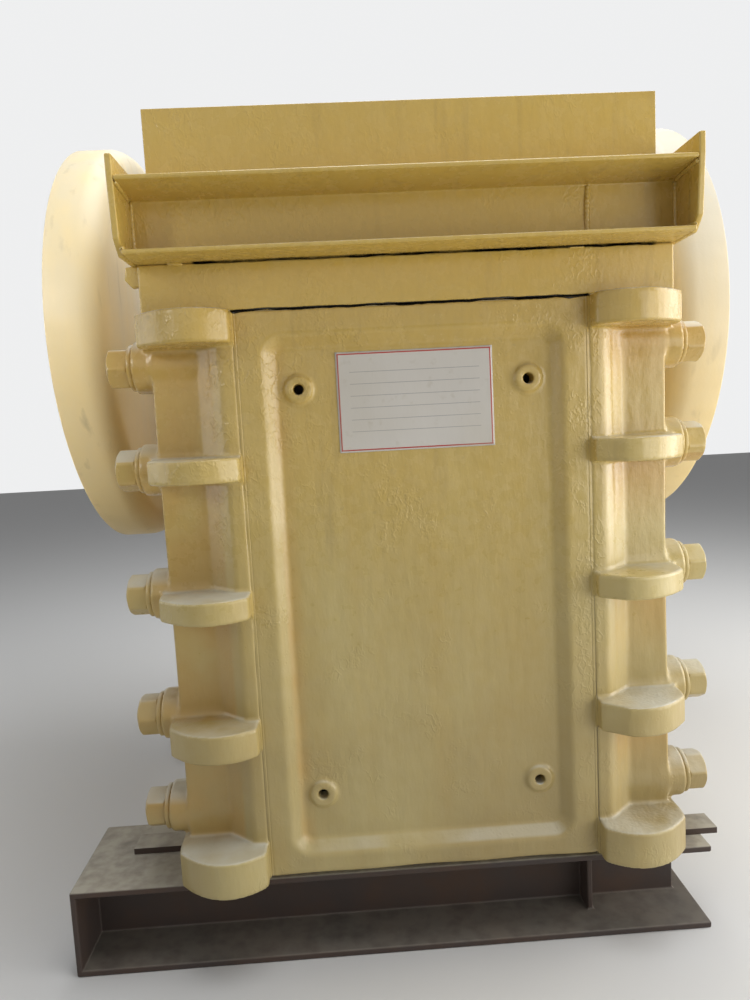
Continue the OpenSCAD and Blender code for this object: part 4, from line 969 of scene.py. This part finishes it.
# A torch-cut lifting tab, with a pointed foot, on the left end of the band.
work = bmesh.new()
outline = [(-0.506, 1.186), (-0.506, 1.225), (-0.532, 1.222), (-0.535, 1.199), (-0.521, 1.183)]
tab_front, tab_back = face_y + 0.010, face_y + 0.024
front = [work.verts.new((x, tab_front, foot_z + z)) for x, z in outline]
back = [work.verts.new((x, tab_back, foot_z + z)) for x, z in outline]
work.faces.new(front)
work.faces.new(back[::-1])
for i in range(len(outline)):
    work.faces.new((front[i], front[i - 1], back[i - 1], back[i]))
bmesh.ops.recalc_face_normals(work, faces=work.faces)
tab_mesh = bpy.data.meshes.new("band_tab")
work.to_mesh(tab_mesh)
work.free()
tab = bpy.data.objects.new("band_tab", tab_mesh)
bpy.context.scene.collection.objects.link(tab)
soft = tab.modifiers.new("edges", "BEVEL")
soft.width, soft.segments = 0.003, 3
tab_mesh.materials.append(sheet_paint)
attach(tab, "root")

# A blank label on the panel, pressed onto the tray's floor: white film with a thin red
# border and empty ruled lines, scuffed and a little lifted at its corners.
label_x, label_z, label_half_w, label_half_h = 0.0025, 0.951, 0.1525, 0.097
border_lo, border_hi, margin_w, margin_h = 0.003, 0.0055, 0.026, 0.022
rule_z, rule_pitch, rule_share = label_z - 0.0805, 0.023, 0.045
film = bpy.data.materials.new("label_film")
film.use_nodes = True
tree = film.node_tree
place = put(tree, "ShaderNodeTexCoord").outputs["Object"]
across, _, height = put(tree, "ShaderNodeSeparateXYZ", Vector=place).outputs
from_middle = calc(tree, "ABSOLUTE", calc(tree, "SUBTRACT", across, label_x))
side_in = calc(tree, "SUBTRACT", label_half_w, from_middle)
from_middle = calc(tree, "ABSOLUTE", calc(tree, "SUBTRACT", height, foot_z + label_z))
top_in = calc(tree, "SUBTRACT", label_half_h, from_middle)
inset = calc(tree, "MINIMUM", side_in, top_in)
border = times(tree, calc(tree, "GREATER_THAN", inset, border_lo),
               calc(tree, "LESS_THAN", inset, border_hi))
row = calc(tree, "DIVIDE", calc(tree, "SUBTRACT", height, foot_z + rule_z), rule_pitch)
ruled = times(tree, calc(tree, "LESS_THAN", calc(tree, "FRACT", row), rule_share),
              calc(tree, "GREATER_THAN", side_in, margin_w),
              calc(tree, "GREATER_THAN", top_in, margin_h))
scuff = span(tree, grain(tree, place, 42.0, 6.0), 0.60, 0.74, 0.0, 0.25)
tone = mix(tree, ruled, (0.66, 0.63, 0.575, 1), (0.36, 0.35, 0.34, 1))
tone = mix(tree, border, tone, (0.45, 0.045, 0.03, 1))
tone = mix(tree, span(tree, grain(tree, place, 6.0, 4.0), 0.40, 0.75, 0.0, 0.30), tone, (0.54, 0.48, 0.35, 1))
tone = mix(tree, scuff, tone, (0.40, 0.34, 0.22, 1))
shader = tree.nodes["Principled BSDF"]
tree.links.new(tone, shader.inputs["Base Color"])
tree.links.new(span(tree, scuff, 0.0, 0.25, 0.32, 0.75), shader.inputs["Roughness"])
creases = times(tree, grain(tree, place, 22.0, 3.0, (1, 1, 0.5)), 0.0016)
tree.links.new(put(tree, "ShaderNodeBump", Strength=0.8, Distance=1.0, Height=creases).outputs[0],
               shader.inputs["Normal"])

# Its grid of points is dropped on the casting's skin in a few steps, then lifted by the film's
# height and, near the corners, by a little more.
wide, high, film_lift, corner_lift = 62, 40, 0.0007, 0.0022
u, w = [g.ravel() for g in np.meshgrid(np.linspace(-1, 1, wide), np.linspace(-1, 1, high), indexing="ij")]
x, z = label_x + u * label_half_w, foot_z + label_z + w * label_half_h
y = np.full(x.shape, face_y + tray_deep)
for turn in range(6):
    y = y + np.clip(front_frame_shape(x, y, z), -0.003, 0.003)
lifted = film_lift + corner_lift * np.clip(np.hypot(u, w) - 1.30, 0, 1) ** 2 / 0.013
rows = np.arange(wide - 1)[:, None] * high + np.arange(high - 1)
quads = np.stack([rows, rows + high, rows + high + 1, rows + 1], -1).reshape(-1, 4)
label = mesh_of("blank_label", np.stack([x, y - lifted, z], 1), quads)
label.data.materials.append(film)
thick = label.modifiers.new("film", "SOLIDIFY")
thick.thickness, thick.offset = 0.0004, 1.0
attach(label, "root")
